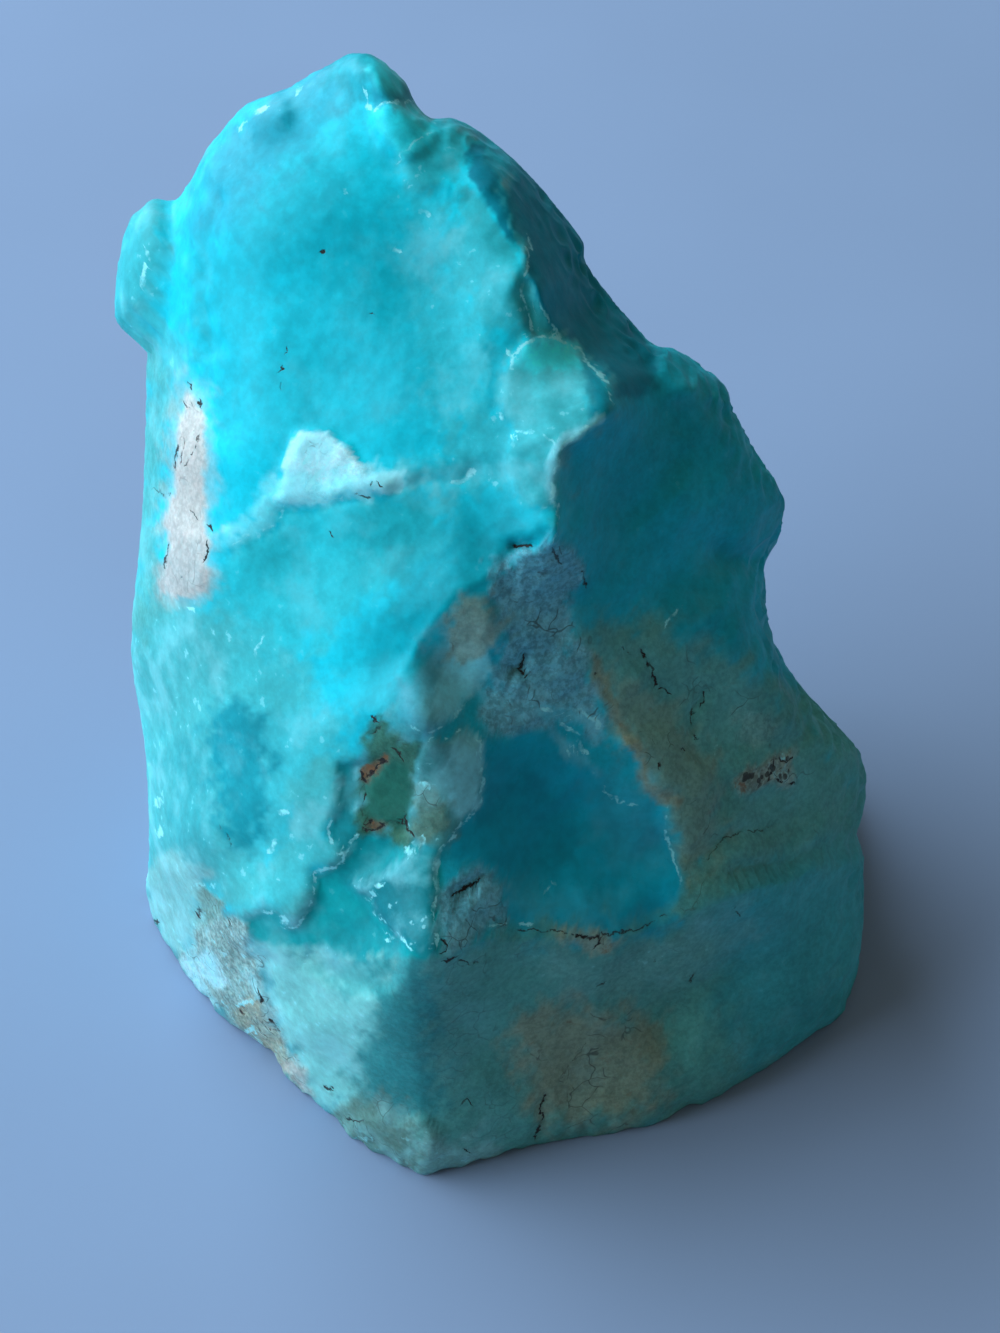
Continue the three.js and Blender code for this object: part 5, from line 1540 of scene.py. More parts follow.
@dataclass
class StoneShape:
    """The stone's surface as a field: negative inside, positive outside, in millimetres.

    Attributes:
        sheet: The sheet that the front is laid out on.
        knobs: The domes on the back.
        back_reach: How far the back bulges behind the sheet's middle.
        back_rounding: Millimetres lost per square millimetre towards the back's rim.
        side_start: Depth behind the front where the sides start to close in.
        side_rounding: How fast they close in.
        rim_blend: Rounding between front and sides.
        back_blend: Rounding between sides and back.
        side_limit: The base's left and right corners are broken off here.
        side_blend: Rounding of those breaks.
        foot_height: The sides stop closing in below this height.
        back_middle: Height at which the back bulges most.
        knob_depths: Depths behind the front over which the back's domes set in.
        knob_foot: Height at which they set in; they are full at the foot height.
        dull_span: Places across the sheet over which the crust turns dull and rough.
        rim_span: Distances from the outline over which the lumps of the broken rim set in.
        grain_depths: Depths behind the front over which its grain gives way to the back's.
        point_softness: Rounding of the relief around each surface point.
        core_middle: The surface is found by going outwards from here.
        core_slant: The core leans and stretches along the stone.
        slack: Widening of the last stride before it is halved, for the fine grain.
        halvings: How often the last stride is halved.
    """

    sheet: DrawingSheet = field(default_factory=DrawingSheet)
    knobs: BackKnobs = field(default_factory=BackKnobs)
    back_reach: float = 27.0
    back_rounding: float = 0.0026
    side_start: float = 6.0
    side_rounding: float = 0.0065
    rim_blend: float = 4.0
    back_blend: float = 5.0
    side_limit: float = 31.8
    side_blend: float = 1.2
    foot_height: float = 9.0
    back_middle: float = 35.0
    knob_depths: Span = (6.0, 18.0)
    knob_foot: float = -6.0
    dull_span: Span = (-5.0, 9.0)
    rim_span: Span = (-3.0, -0.5)
    grain_depths: Span = (14.0, 6.0)
    point_softness: float = 3.0
    core_middle: Triple = (-1.0, 3.0, 33.0)
    core_slant: Triple = (-2.0, 6.0, 20.0)
    slack: float = 0.6
    halvings: int = 12

    @cached_property
    def table(self) -> SheetTable:
        """Work out what the sheet holds.

        Returns:
            Relief, outline distance and grain on a grid of the sheet.
        """
        table = SheetTable()
        flat = table.places
        table.store("outside", signed_distance(flat, curve_through(OUTLINE, True)))
        table.store("relief", self.front_relief(flat))
        grain = np.full(len(flat), Surface.CRUST.value.grain)
        ripple = edge_ripple(flat)
        for patch in PATCHES:
            cover = patch.cover(flat, ripple)
            grain += cover * (patch.surface.value.grain - grain)
        table.store("grain", grain)
        return table

    def front_relief(self, flat: Array) -> Array:
        """Work out how near the front comes to the viewer.

        A smooth sheet passes through the surface points: each point adds its weight times the
        softened distance to it, and the weights solve the system that makes all points fit. The
        features are added on top, along courses that wander a little.

        Args:
            flat: Places on the sheet, one row each.

        Returns:
            Nearness in millimetres, one value per place.
        """
        points = np.array([p for group in SURFACE.values() for p in group])
        gaps = ((points[:, None, :2] - points[None, :, :2]) ** 2).sum(axis=2)
        weights = np.linalg.solve(np.sqrt(gaps + self.point_softness**2), points[:, 2])
        near = np.zeros(len(flat))
        for point, weight in zip(points, weights):
            gap = ((flat - point[:2]) ** 2).sum(axis=1)
            near += weight * np.sqrt(gap + self.point_softness**2)
        drift = self.drift(flat)
        for feature in (*CRESTS, *SCOOPS, *LEDGES, *CREASES):
            near += feature.rise(flat + feature.ragged * drift)
        return near

    @staticmethod
    def drift(flat: Array) -> Array:
        """Work out how far places move so that no edge runs straight.

        Args:
            flat: Places on the sheet, one row each.

        Returns:
            The movement across and up: 4.5 mm noise and a little 1.9 mm noise.
        """
        raised = np.column_stack([flat, np.zeros(len(flat))])
        broad = [RollingNoise(4.5, seed).at(raised) for seed in (0.0, 5.0)]
        narrow = [RollingNoise(1.9, seed).at(raised) for seed in (2.0, 7.0)]
        return 0.45 * np.stack(broad, axis=1) + 0.22 * np.stack(narrow, axis=1)

    def behind(self, places: Array) -> tuple[Array, Array]:
        """Measure how deep places lie behind the front.

        Args:
            places: Places in the sheet's plan, one row each.

        Returns:
            The places on the sheet, and the depth behind the front.
        """
        flat, near = self.sheet.place_on(places)
        return flat, self.table.look_up("relief", flat) - near

    def depth(self, places: Array) -> Array:
        """Evaluate the stone's field.

        The larger of four fields, blended: depth before the front, distance outside the
        outline (closing in towards the back), distance past the back, and height below the
        table. Valleys between knobs and broken-rock noise are then cut in.

        Args:
            places: Places in the sheet's plan, one row each.

        Returns:
            The field, one value per place.
        """
        x, y, z = places.T
        flat, behind = self.behind(places)
        outside = self.table.look_up("outside", flat)
        foot = 1.3 * np.maximum(self.foot_height - z, 0)
        closing = np.maximum(behind - self.side_start - foot, 0)
        side = outside + self.side_rounding * closing**2
        value = blend_max(-behind, side, self.rim_blend)
        off_middle = (z - self.back_middle) ** 2 + x**2
        back_limit = self.back_reach - self.back_rounding * off_middle
        value = blend_max(value, y - back_limit, self.back_blend)
        value = blend_max(value, np.abs(x) - self.side_limit, self.side_blend)

        core = places - np.array(self.core_middle)
        directions = core / np.linalg.norm(core, axis=1)[:, None]
        knobby = smooth_rise(*self.knob_depths, behind)
        knobby = knobby * smooth_rise(self.knob_foot, self.foot_height, z)
        knobby = knobby * (0.6 + 0.4 * RollingNoise(40.0).at(places))
        value = value + self.knobs.valley(directions) * knobby

        calm = np.clip(-outside / 3, 0.3, 1)
        dull = smooth_rise(*self.dull_span, flat[:, 0] - 0.3 * np.maximum(flat[:, 1], 0))
        value = value + calm * (0.08 + 0.14 * dull) * RollingNoise(9.0).at(places)
        ridges = self.ridged(RollingNoise(7.0, 3.0), places)
        value = value + calm * (0.04 + 0.16 * dull) * ridges
        return np.maximum(value, -z)

    @staticmethod
    def ridged(noise: RollingNoise, places: Array) -> Array:
        """Fold a noise at 0, which gives sharp valleys, and lower it by its mean."""
        return np.abs(noise.at(places)) - RIDGED_MEAN

    def fine_depth(self, places: Array) -> Array:
        """Add the fine broken grain to the stone's field.

        Args:
            places: Places in the sheet's plan, one row each.

        Returns:
            The field with ridged noise that is strongest where the surface is granular.
        """
        flat, behind = self.behind(places)
        front = smooth_rise(*self.grain_depths, behind)
        grain = self.table.look_up("grain", flat)
        grain = grain * front + Surface.CRUST.value.grain * (1 - front)
        crumbs = self.ridged(RollingNoise(1.9, 4.0), places)
        lumps = self.ridged(RollingNoise(3.3, 1.0), places)
        rim = smooth_rise(*self.rim_span, self.table.look_up("outside", flat))
        right = smooth_rise(0, 8, flat[:, 0]) * smooth_rise(-30, -22, flat[:, 1])
        rim = rim * (0.25 + 0.75 * right)
        rough = (0.01 + 0.17 * grain**2) * crumbs + (0.02 + 0.2 * grain**2 + 0.5 * rim) * lumps
        return np.maximum(self.depth(places) + rough, -places[:, 2])

    def surface(self, directions: Array) -> Array:
        """Find the surface along rays that leave the stone's core.

        Each ray goes out in even strides until it leaves the stone, and halving the last
        stride then closes in on the surface.

        Args:
            directions: Unit directions, one row each.

        Returns:
            One surface place per direction.
        """
        start = np.array(self.core_middle) + directions[:, 2:3] * np.array(self.core_slant)
        stride, first, last = 2.0, 10.0, 90.0
        inner = np.full(len(directions), first)
        outer = np.full(len(directions), last)
        going = np.arange(len(directions))
        for reach in np.arange(first + stride, last, stride):
            left = self.depth(start[going] + directions[going] * reach) > 0
            outer[going[left]] = reach
            inner[going[~left]] = reach
            going = going[~left]
            if not len(going):
                break
        inner, outer = inner - self.slack, outer + self.slack
        for _ in range(self.halvings):
            middle = (inner + outer) / 2
            left = self.fine_depth(start + directions * middle[:, None]) > 0
            outer = np.where(left, middle, outer)
            inner = np.where(left, inner, middle)
        return start + directions * ((inner + outer) / 2)[:, None]


MARKS = ("grain", "cloud", "rust", "gloss")


@dataclass
class StonePiece:
    """The dressed stone: a closed skin of places found along rays, and its surface marks.

    Attributes:
        shape: The stone's surface.
        columns: Grid columns round the upright axis.
        rows: Grid rows from the base's middle to the tip.
        front_crowding: How much closer the columns stand on the viewer's side.
        line_reach: How far from a line its distance is kept.
        wander: Share of the drift that moves zones and lines.
        zone_depths: Depths behind the front over which zones fade out.
        line_depths: The same for lines.
    """

    shape: StoneShape = field(default_factory=StoneShape)
    columns: int = 300
    rows: int = 330
    front_crowding: float = 0.6
    line_reach: float = 1.6
    wander: float = 0.4
    zone_depths: Span = (12.0, 5.0)
    line_depths: Span = (7.0, 3.0)

    def directions(self) -> Array:
        """Spread directions over the ball of directions.

        Rows rise from straight down to straight up. Their spacing follows a density that is a
        third of the full one under the base and a little lower round the tip. Columns go round,
        closer together at the front: the turn is t plus a share of sin(t).

        Returns:
            Unit directions row by row, then straight down and straight up for the poles.
        """
        degrees = np.linspace(-90, 90, 721)
        density = 0.35 + 0.65 * smooth_rise(-62, -47, degrees)
        density = density * (1 - 0.3 * smooth_rise(55, 80, degrees))
        counted = np.concatenate([[0.0], np.cumsum((density[1:] + density[:-1]) / 2)])
        share = np.arange(1, self.rows) / self.rows
        height = np.radians(np.interp(share * counted[-1], counted, degrees))
        t = 2 * math.pi * np.arange(self.columns) / self.columns
        turn = t - self.front_crowding * np.sin(t) - math.pi / 2
        turns, heights = np.meshgrid(turn, height)
        level = np.cos(heights)
        grid = np.stack([level * np.cos(turns), level * np.sin(turns), np.sin(heights)], axis=-1)
        poles = np.array([[0.0, 0.0, -1.0], [0.0, 0.0, 1.0]])
        return np.vstack([grid.reshape(-1, 3), poles])

    def faces(self) -> list[tuple[int, ...]]:
        """Join the grid into four-sided faces, with fans of triangles at both poles.

        Returns:
            Vertex numbers of each face, turned so that all faces point outwards.
        """
        ring = np.arange(self.columns)
        after = (ring + 1) % self.columns
        row = np.arange(self.rows - 2)[:, None] * self.columns
        corners = [row + ring, row + after, row + self.columns + after, row + self.columns + ring]
        quads = np.stack(corners, axis=-1).reshape(-1, 4)
        below = (self.rows - 1) * self.columns
        top = (self.rows - 2) * self.columns
        low_fan = np.stack([after, ring, np.full(self.columns, below)], axis=1)
        high_fan = np.stack([top + ring, top + after, np.full(self.columns, below + 1)], axis=1)
        return [tuple(f) for part in (quads, low_fan, high_fan) for f in part.tolist()]

    def build(self) -> bpy.types.Object:
        """Build the stone's mesh, marks and material.

        Returns:
            The finished piece.
        """
        places = self.shape.surface(self.directions())
        middle = np.array([*self.shape.sheet.base_middle, 0.0])
        mesh = bpy.data.meshes.new(PIECE_NAME)
        faces = self.faces()
        mesh.from_pydata([tuple(p) for p in ((places - middle) * MM).tolist()], [], faces)
        mesh.polygons.foreach_set("use_smooth", np.ones(len(faces), dtype=bool))
        mesh.update()
        self.mark(mesh, places)
        piece = bpy.data.objects.new(PIECE_NAME, mesh)
        bpy.context.scene.collection.objects.link(piece)
        mesh.materials.append(StoneFinish().build())
        return piece

    def mark(self, mesh: bpy.types.Mesh, places: Array) -> None:
        """Write colours, painted shade and light among them, and surface marks to the mesh as point
        attributes.

        Args:
            mesh: The stone's mesh.
            places: Its vertices in the sheet's plan, one row each.
        """
        flat, behind = self.shape.behind(places)
        wandered = flat + self.wander * StoneShape.drift(flat)
        front = smooth_rise(*self.zone_depths, behind)
        base = Surface.CRUST.value
        colour = np.tile(np.array(base.colour), (len(places), 1))
        levels = {key: np.full(len(places), getattr(base, key)) for key in MARKS}
        ripple = edge_ripple(flat)
        for patch in PATCHES:
            tone = patch.surface.value
            cover = patch.cover(wandered, ripple) * front
            colour += cover[:, None] * (np.array(tone.colour) - colour)
            for key, level in levels.items():
                level += cover * (getattr(tone, key) - level)
        self.write_colour(mesh, "tint", colour)
        for key, level in levels.items():
            self.write_number(mesh, key, level)
        for key, lines in (("crack", CRACKS), ("rim", RIMS_AND_GLINTS)):
            distance, strength = self.line_marks(wandered, lines)
            self.write_number(mesh, key + "_distance", distance)
            shown = strength * smooth_rise(*self.line_depths, behind)
            self.write_number(mesh, key + "_strength", shown)

    def line_marks(self, flat: Array, lines: tuple[LineMark, ...]) -> tuple[Array, Array]:
        """Measure signed distances to the nearest of several lines.

        Args:
            flat: Places on the sheet, one row each.
            lines: The lines.

        Returns:
            The signed distance, and a strength that fades to 0 where the line is out of reach.
        """
        nearest = np.full(len(flat), self.line_reach)
        signed = np.full(len(flat), self.line_reach)
        strength = np.zeros(len(flat))
        for mark in lines:
            curve = curve_through(mark.line, False)
            close = np.flatnonzero(near_curve(flat, curve, self.line_reach))
            distance, side = curve_distance(flat[close], curve)
            nearer = distance < nearest[close]
            chosen = close[nearer]
            nearest[chosen] = distance[nearer]
            signed[chosen] = distance[nearer] * side[nearer]
            fade = smooth_rise(0.55 * self.line_reach, 0.3 * self.line_reach, distance[nearer])
            fade = fade * smooth_rise(0.3, 0.0, past_ends(flat[chosen], curve))
            strength[chosen] = mark.strength * fade
        return signed, strength

    @staticmethod
    def write_colour(mesh: bpy.types.Mesh, name: str, colour: Array) -> None:
        """Write one linear colour per vertex to a mesh attribute.

        Args:
            mesh: The mesh.
            name: Name of the attribute.
            colour: Red, green and blue, one row per vertex.
        """
        layer = mesh.attributes.new(name, "FLOAT_COLOR", "POINT")
        full = np.column_stack([np.clip(colour, 0, 1), np.ones(len(colour))])
        layer.data.foreach_set("color", full.astype(np.float32).ravel())

    @staticmethod
    def write_number(mesh: bpy.types.Mesh, name: str, values: Array) -> None:
        """Write one number per vertex to a mesh attribute."""
        layer = mesh.attributes.new(name, "FLOAT", "POINT")
        layer.data.foreach_set("value", values.astype(np.float32))


# ---------------------------------------------------------------- materials
class Mottle(Enum):
    """Noise patterns: repeats per metre, finer layers, their strength, and any bending."""

    BROAD_SHADE = (130.0, 4.0, 0.55)
    FINE_SHADE = (900.0, 5.0, 0.65)
    DUST = (2300.0, 3.0, 0.65)
    SOFT_FLECK = (240.0, 5.0, 0.55)
    CRISP_FLECK = (900.0, 3.0, 0.55)
    VEIN_WARP = (260.0, 2.0, 0.5)
    STAIN = (520.0, 8.0, 0.7, 0.5)
    LINE_SHIFT = (1300.0, 4.0, 0.65)
    LINE_GAPS = (800.0, 2.0, 0.5)
    SHEEN = (480.0, 5.0, 0.6)
    WAVES = (300.0, 3.0, 0.45)
    GRIT = (2400.0, 2.0, 0.6)
    FLOOR = (14.0, 3.0, 0.5)


class Ramp(Enum):
    """Smooth maps of a number: where it starts and ends, and the results if not 0 and 1."""

    BROAD_SHADE = (0.3, 0.7, 0.87, 1.10)
    FINE_SHADE = (0.35, 0.65, 0.91, 1.07)
    DUST_SHADE = (0.40, 0.60, -0.26, 0.22)
    SOFT_FLECK = (0.52, 0.74, 0.0, 0.9)
    CRISP_FLECK = (0.68, 0.74)
    CLOUDED = (0.0, 0.5)
    VEIN = (0.10, 0.0)
    VEIN_PLACES = (0.42, 0.62)
    VEINED_GRAIN = (0.75, 1.0, 0.0, 0.5)
    STAIN = (0.62, 0.72)
    STAINED = (0.02, 0.35)
    STAIN_PITS = (0.25, 0.7)
    SCAR_PITS = (0.38, 0.46)
    PIT = (0.50, 0.38)
    WEB_CRACK = (0.022, 0.006)
    WEB_RUST = (0.1, 0.6)
    WEB_GAPS = (0.5, 0.6)
    HAIR_CRACK = (0.03, 0.008)
    HAIR_PLACES = (0.54, 0.60)
    HAIR_GRAIN = (0.22, 0.5, 0.0, 0.6)
    RIM_MOTTLE = (0.36, 0.56, 0.15, 0.8)
    LINE_SHIFT = (0.3, 0.7, -0.15, 0.15)
    LINE_GAPS = (0.42, 0.5)
    STRONG_LINE = (0.8, 1.4)
    LINE_EDGE = (1.3, 0.5)
    SHOWN_LINE = (0.1, 0.9)
    SHEEN = (0.3, 0.7, 0.46, 0.62)
    FLOOR = (0.3, 0.7)


class NodeBoard:
    """Places shader nodes in a tree and joins them."""

    def __init__(self, tree: bpy.types.NodeTree) -> None:
        """Start on a node tree."""
        self.tree = tree

    @classmethod
    def of(cls, material: bpy.types.Material) -> "NodeBoard":
        """Start on a material's own tree."""
        material.use_nodes = True
        return cls(material.node_tree)

    @property
    def shader(self) -> bpy.types.Node:
        """The material's shader."""
        return self.tree.nodes["Principled BSDF"]

    def add(self, kind: str, **settings: object) -> bpy.types.Node:
        """Add a node and set its properties.

        Args:
            kind: Blender's name of the node type.
            settings: Properties and their values.

        Returns:
            The node.
        """
        node = self.tree.nodes.new(kind)
        for name, value in settings.items():
            setattr(node, name, value)
        return node

    def feed(self, socket: Socket, source: Source) -> None:
        """Join a source socket to a socket, or set the socket to a plain value.

        Args:
            socket: The socket to fill.
            source: The socket it takes its value from, or the value itself.
        """
        if isinstance(source, Socket):
            self.tree.links.new(source, socket)
        elif isinstance(source, tuple) and socket.type == "RGBA":
            socket.default_value = (*source, 1.0)
        else:
            socket.default_value = source

    def times(self, a: Source, b: Source, clamp: bool = False) -> Socket:
        """Multiply two numbers."""
        return self.maths("MULTIPLY", a, b, clamp)

    def plus(self, a: Source, b: Source, clamp: bool = False) -> Socket:
        """Add two numbers."""
        return self.maths("ADD", a, b, clamp)

    def larger(self, a: Source, b: Source) -> Socket:
        """Take the larger of two numbers."""
        return self.maths("MAXIMUM", a, b)

    def maths(self, operation: str, a: Source, b: Source = 0.0, clamp: bool = False) -> Socket:
        """Combine two numbers.

        Args:
            operation: Name of the Math node's operation.
            a: First socket or number.
            b: Second socket or number.
            clamp: Whether the result is kept between 0 and 1.

        Returns:
            The result's socket.
        """
        node = self.add("ShaderNodeMath", operation=operation, use_clamp=clamp)
        self.feed(node.inputs[0], a)
        self.feed(node.inputs[1], b)
        return node.outputs[0]

    def rise(self, value: Socket, ramp: Ramp) -> Socket:
        """Map a number smoothly from one range to another, held at both ends.

        Args:
            value: Socket to map.
            ramp: The two ranges.

        Returns:
            The result's socket.
        """
        node = self.add("ShaderNodeMapRange", interpolation_type="SMOOTHSTEP")
        self.feed(node.inputs["Value"], value)
        for name, number in zip(("From Min", "From Max", "To Min", "To Max"), ramp.value):
            self.feed(node.inputs[name], number)
        return node.outputs["Result"]

    def mix(self, share: Source, a: Source, b: Source, mode: str = "MIX") -> Socket:
        """Mix two colours.

        Args:
            share: Share of the second colour.
            a: First colour.
            b: Second colour.
            mode: Name of the blend mode.

        Returns:
            The mixed colour's socket.
        """
        node = self.add("ShaderNodeMix", data_type="RGBA", blend_type=mode)
        self.feed(node.inputs["Factor"], share)
        self.feed(node.inputs[6], a)
        self.feed(node.inputs[7], b)
        return node.outputs[2]

    def noise(self, place: Socket, mottle: Mottle, output: str = "Fac") -> Socket:
        """Add a noise pattern.

        Args:
            place: Socket of the coordinates.
            mottle: The pattern's size and character.
            output: The output to read: Fac or Color.

        Returns:
            The pattern's socket, about 0 to 1.
        """
        node = self.add("ShaderNodeTexNoise")
        self.feed(node.inputs["Vector"], place)
        names = ("Scale", "Detail", "Roughness", "Distortion")
        for name, number in zip(names, mottle.value):
            self.feed(node.inputs[name], number)
        return node.outputs[output]

    def cells(self, place: Socket, scale: float, feature: str = "F1") -> Socket:
        """Add a cell pattern.

        Args:
            place: Socket of the coordinates.
            scale: Cells per metre.
            feature: What is measured: F1 or DISTANCE_TO_EDGE.

        Returns:
            The pattern's socket.
        """
        node = self.add("ShaderNodeTexVoronoi", feature=feature)
        self.feed(node.inputs["Vector"], place)
        self.feed(node.inputs["Scale"], scale)
        return node.outputs["Distance"]

    def mark(self, name: str, output: str = "Fac") -> Socket:
        """Read one of the piece's own attributes."""
        node = self.add("ShaderNodeAttribute", attribute_type="GEOMETRY", attribute_name=name)
        return node.outputs[output]


@dataclass(frozen=True)
class StoneFinish:
    """The waxy, slightly see-through finish of the whole stone.

    Attributes:
        sugar: Colour of the white sugary flecks.
        rust_colour: Colour of the iron stain.
        crack_colour: Colour of cracks and pits.
        rim_and_glint_colour: Colour of thin lit rims and painted glints.
        crack_width: Half width of a crack line in millimetres.
        rim_width: Half width of a pale rim or painted glint in millimetres.
        thinnest_line: Half width below which no line goes, in millimetres.
        fleck_strength: How fully flecks cover.
        rust_strength: How fully stains cover.
        vein_warp: How far the web of veins is bent, in metres.
        web_cells: Cells of that web per metre.
        pit_cells: Dark pits per metre.
        crumb_cells: Sharp crumbs per metre.
        wave_height: Height of the soft waves, as a share of the bump distance.
        crumb_height: Height of the crumbs, likewise.
        grit_height: Height of the fine grit, likewise.
        groove_depth: Depth of the cracks, likewise.
        bump_strength: Strength of the fine relief.
        bump_distance: Its full height in metres.
        gloss_polish: How much smoother glassy places are.
        grain_dulling: How much rougher granular places are.
        bending: How strongly the stone bends light.
        shine: Strength of its mirror reflection.
        shine_tint: Colour of that reflection.
        glow: How much of the light goes in below the surface.
        glow_colours: How far red, green and blue light wander, compared with one another.
        glow_depth: How far light wanders inside, in metres.
    """

    sugar: Colour = (0.34, 0.88, 0.95)
    rust_colour: Colour = (0.22, 0.11, 0.045)
    crack_colour: Colour = (0.030, 0.022, 0.018)
    rim_and_glint_colour: Colour = (0.34, 0.90, 0.94)
    crack_width: float = 0.085
    rim_width: float = 0.19
    thinnest_line: float = 0.02
    fleck_strength: float = 0.8
    rust_strength: float = 0.75
    vein_warp: float = 0.006
    web_cells: float = 360.0
    pit_cells: float = 1500.0
    crumb_cells: float = 900.0
    wave_height: float = 0.35
    crumb_height: float = 0.7
    grit_height: float = 0.4
    groove_depth: float = 1.2
    bump_strength: float = 0.55
    bump_distance: float = 0.00035
    gloss_polish: float = 0.24
    grain_dulling: float = 0.18
    bending: float = 1.6
    shine: float = 0.2
    shine_tint: Colour = (0.4, 0.9, 1.0)
    glow: float = 0.4
    glow_colours: Triple = (0.25, 1.0, 1.1)
    glow_depth: float = 0.0007

    def build(self) -> bpy.types.Material:
        """Build the material.

        Returns:
            The stone's material.
        """
        material = bpy.data.materials.new("waxy_blue_green_stone")
        board = NodeBoard.of(material)
        place = board.add("ShaderNodeTexCoord").outputs["Object"]
        for name, source in (
            ("Base Color", self.colour(board, place)), ("Roughness", self.roughness(board, place)),
            ("Normal", self.normal(board, place)),
            ("IOR", self.bending), ("Specular IOR Level", self.shine),
            ("Specular Tint", self.shine_tint), ("Subsurface Weight", self.glow),
            ("Subsurface Radius", self.glow_colours), ("Subsurface Scale", self.glow_depth),
        ):
            board.feed(board.shader.inputs[name], source)
        return material

    def colour(self, board: NodeBoard, place: Socket) -> Socket:
        """Build the surface colour from the zone colours with their painted shade and light,
        mottling, flecks, stains, and lines with painted glints.

        Args:
            board: The material's node board.
            place: Socket of the object coordinates.

        Returns:
            The colour's socket.
        """
        grain, cloud, rust = board.mark("grain"), board.mark("cloud"), board.mark("rust")
        broad = board.noise(place, Mottle.BROAD_SHADE)
        fine = board.noise(place, Mottle.FINE_SHADE)
        dust = board.noise(place, Mottle.DUST)
        colour = board.mark("tint", "Color")

        shade = board.rise(broad, Ramp.BROAD_SHADE)
        shade = board.times(shade, board.rise(fine, Ramp.FINE_SHADE))
        grit = board.rise(dust, Ramp.DUST_SHADE)
        shade = board.plus(shade, board.times(grit, grain))
        tone = board.add("ShaderNodeCombineColor")
        for socket in tone.inputs:
            board.feed(socket, shade)
        colour = board.mix(1.0, colour, tone.outputs[0], "MULTIPLY")

        soft_field = board.noise(place, Mottle.SOFT_FLECK)
        soft = board.plus(soft_field, board.times(cloud, 0.15))
        soft = board.times(board.rise(soft, Ramp.SOFT_FLECK), cloud)
        crisp_field = board.noise(place, Mottle.CRISP_FLECK)
        crisp = board.plus(crisp_field, board.times(cloud, 0.1))
        crisp = board.times(board.rise(crisp, Ramp.CRISP_FLECK), board.rise(cloud, Ramp.CLOUDED))
        fleck = board.larger(soft, board.times(crisp, 0.6))
        colour = board.mix(board.times(fleck, self.fleck_strength, True), colour, self.sugar)

        bent = board.add("ShaderNodeVectorMath", operation="MULTIPLY_ADD")
        board.feed(bent.inputs[0], board.noise(place, Mottle.VEIN_WARP, "Color"))
        bent.inputs[1].default_value = (self.vein_warp,) * 3
        board.feed(bent.inputs[2], place)
        web = board.cells(bent.outputs[0], self.web_cells, "DISTANCE_TO_EDGE")
        vein = board.times(board.rise(web, Ramp.VEIN), board.rise(broad, Ramp.VEIN_PLACES))
        vein = board.times(vein, board.rise(grain, Ramp.VEINED_GRAIN))
        colour = board.mix(vein, colour, self.sugar)

        stain = board.noise(place, Mottle.STAIN)
        stain = board.plus(stain, board.times(rust, 0.22))
        stain = board.times(board.rise(stain, Ramp.STAIN), board.rise(rust, Ramp.STAINED))
        stained = board.times(stain, self.rust_strength)
        colour = board.mix(stained, colour, self.rust_colour)

        pitted = board.larger(board.rise(stain, Ramp.STAIN_PITS), board.rise(rust, Ramp.SCAR_PITS))
        pits = board.times(board.rise(board.cells(place, self.pit_cells), Ramp.PIT), pitted)
        crack = board.larger(self.line(board, place, "crack", self.crack_width), pits)
        web_crack = board.times(board.rise(web, Ramp.WEB_CRACK), board.rise(rust, Ramp.WEB_RUST))
        web_crack = board.times(web_crack, board.rise(fine, Ramp.WEB_GAPS))
        crack = board.larger(crack, web_crack)
        hair = board.rise(web, Ramp.HAIR_CRACK)
        hair = board.times(hair, board.rise(soft_field, Ramp.HAIR_PLACES))
        hair = board.times(hair, board.rise(grain, Ramp.HAIR_GRAIN))
        crack = board.larger(crack, hair)
        # pale rims, partly painted highlight, and painted glints
        rim = self.line(board, place, "rim", self.rim_width)
        rim = board.times(rim, board.rise(crisp_field, Ramp.RIM_MOTTLE))
        colour = board.mix(rim, colour, self.rim_and_glint_colour)
        return board.mix(crack, colour, self.crack_colour)

    def line(self, board: NodeBoard, place: Socket, name: str, width: float) -> Socket:
        """Build the mask of thin ragged lines from their signed distance.

        Args:
            board: The material's node board.
            place: Socket of the object coordinates.
            name: Name of the line kind: crack or rim.
            width: Half width in millimetres.

        Returns:
            The mask's socket.
        """
        strength = board.mark(name + "_strength")
        half_width = board.larger(board.times(strength, width), self.thinnest_line)
        shift = board.rise(board.noise(place, Mottle.LINE_SHIFT), Ramp.LINE_SHIFT)
        distance = board.plus(board.mark(name + "_distance"), shift)
        distance = board.maths("DIVIDE", board.maths("ABSOLUTE", distance), half_width)
        broken = board.rise(board.noise(place, Mottle.LINE_GAPS), Ramp.LINE_GAPS)
        broken = board.larger(broken, board.rise(strength, Ramp.STRONG_LINE))
        mask = board.times(board.rise(distance, Ramp.LINE_EDGE), broken)
        return board.times(mask, board.rise(strength, Ramp.SHOWN_LINE))

    def roughness(self, board: NodeBoard, place: Socket) -> Socket:
        """Build the roughness: glassy in fresh breaks, dull where granular or weathered.

        Args:
            board: The material's node board.
            place: Socket of the object coordinates.

        Returns:
            The roughness's socket.
        """
        base = board.rise(board.noise(place, Mottle.SHEEN), Ramp.SHEEN)
        glassy = board.times(board.mark("gloss"), self.gloss_polish)
        granular = board.times(board.mark("grain"), self.grain_dulling)
        return board.plus(board.maths("SUBTRACT", base, glassy), granular, True)

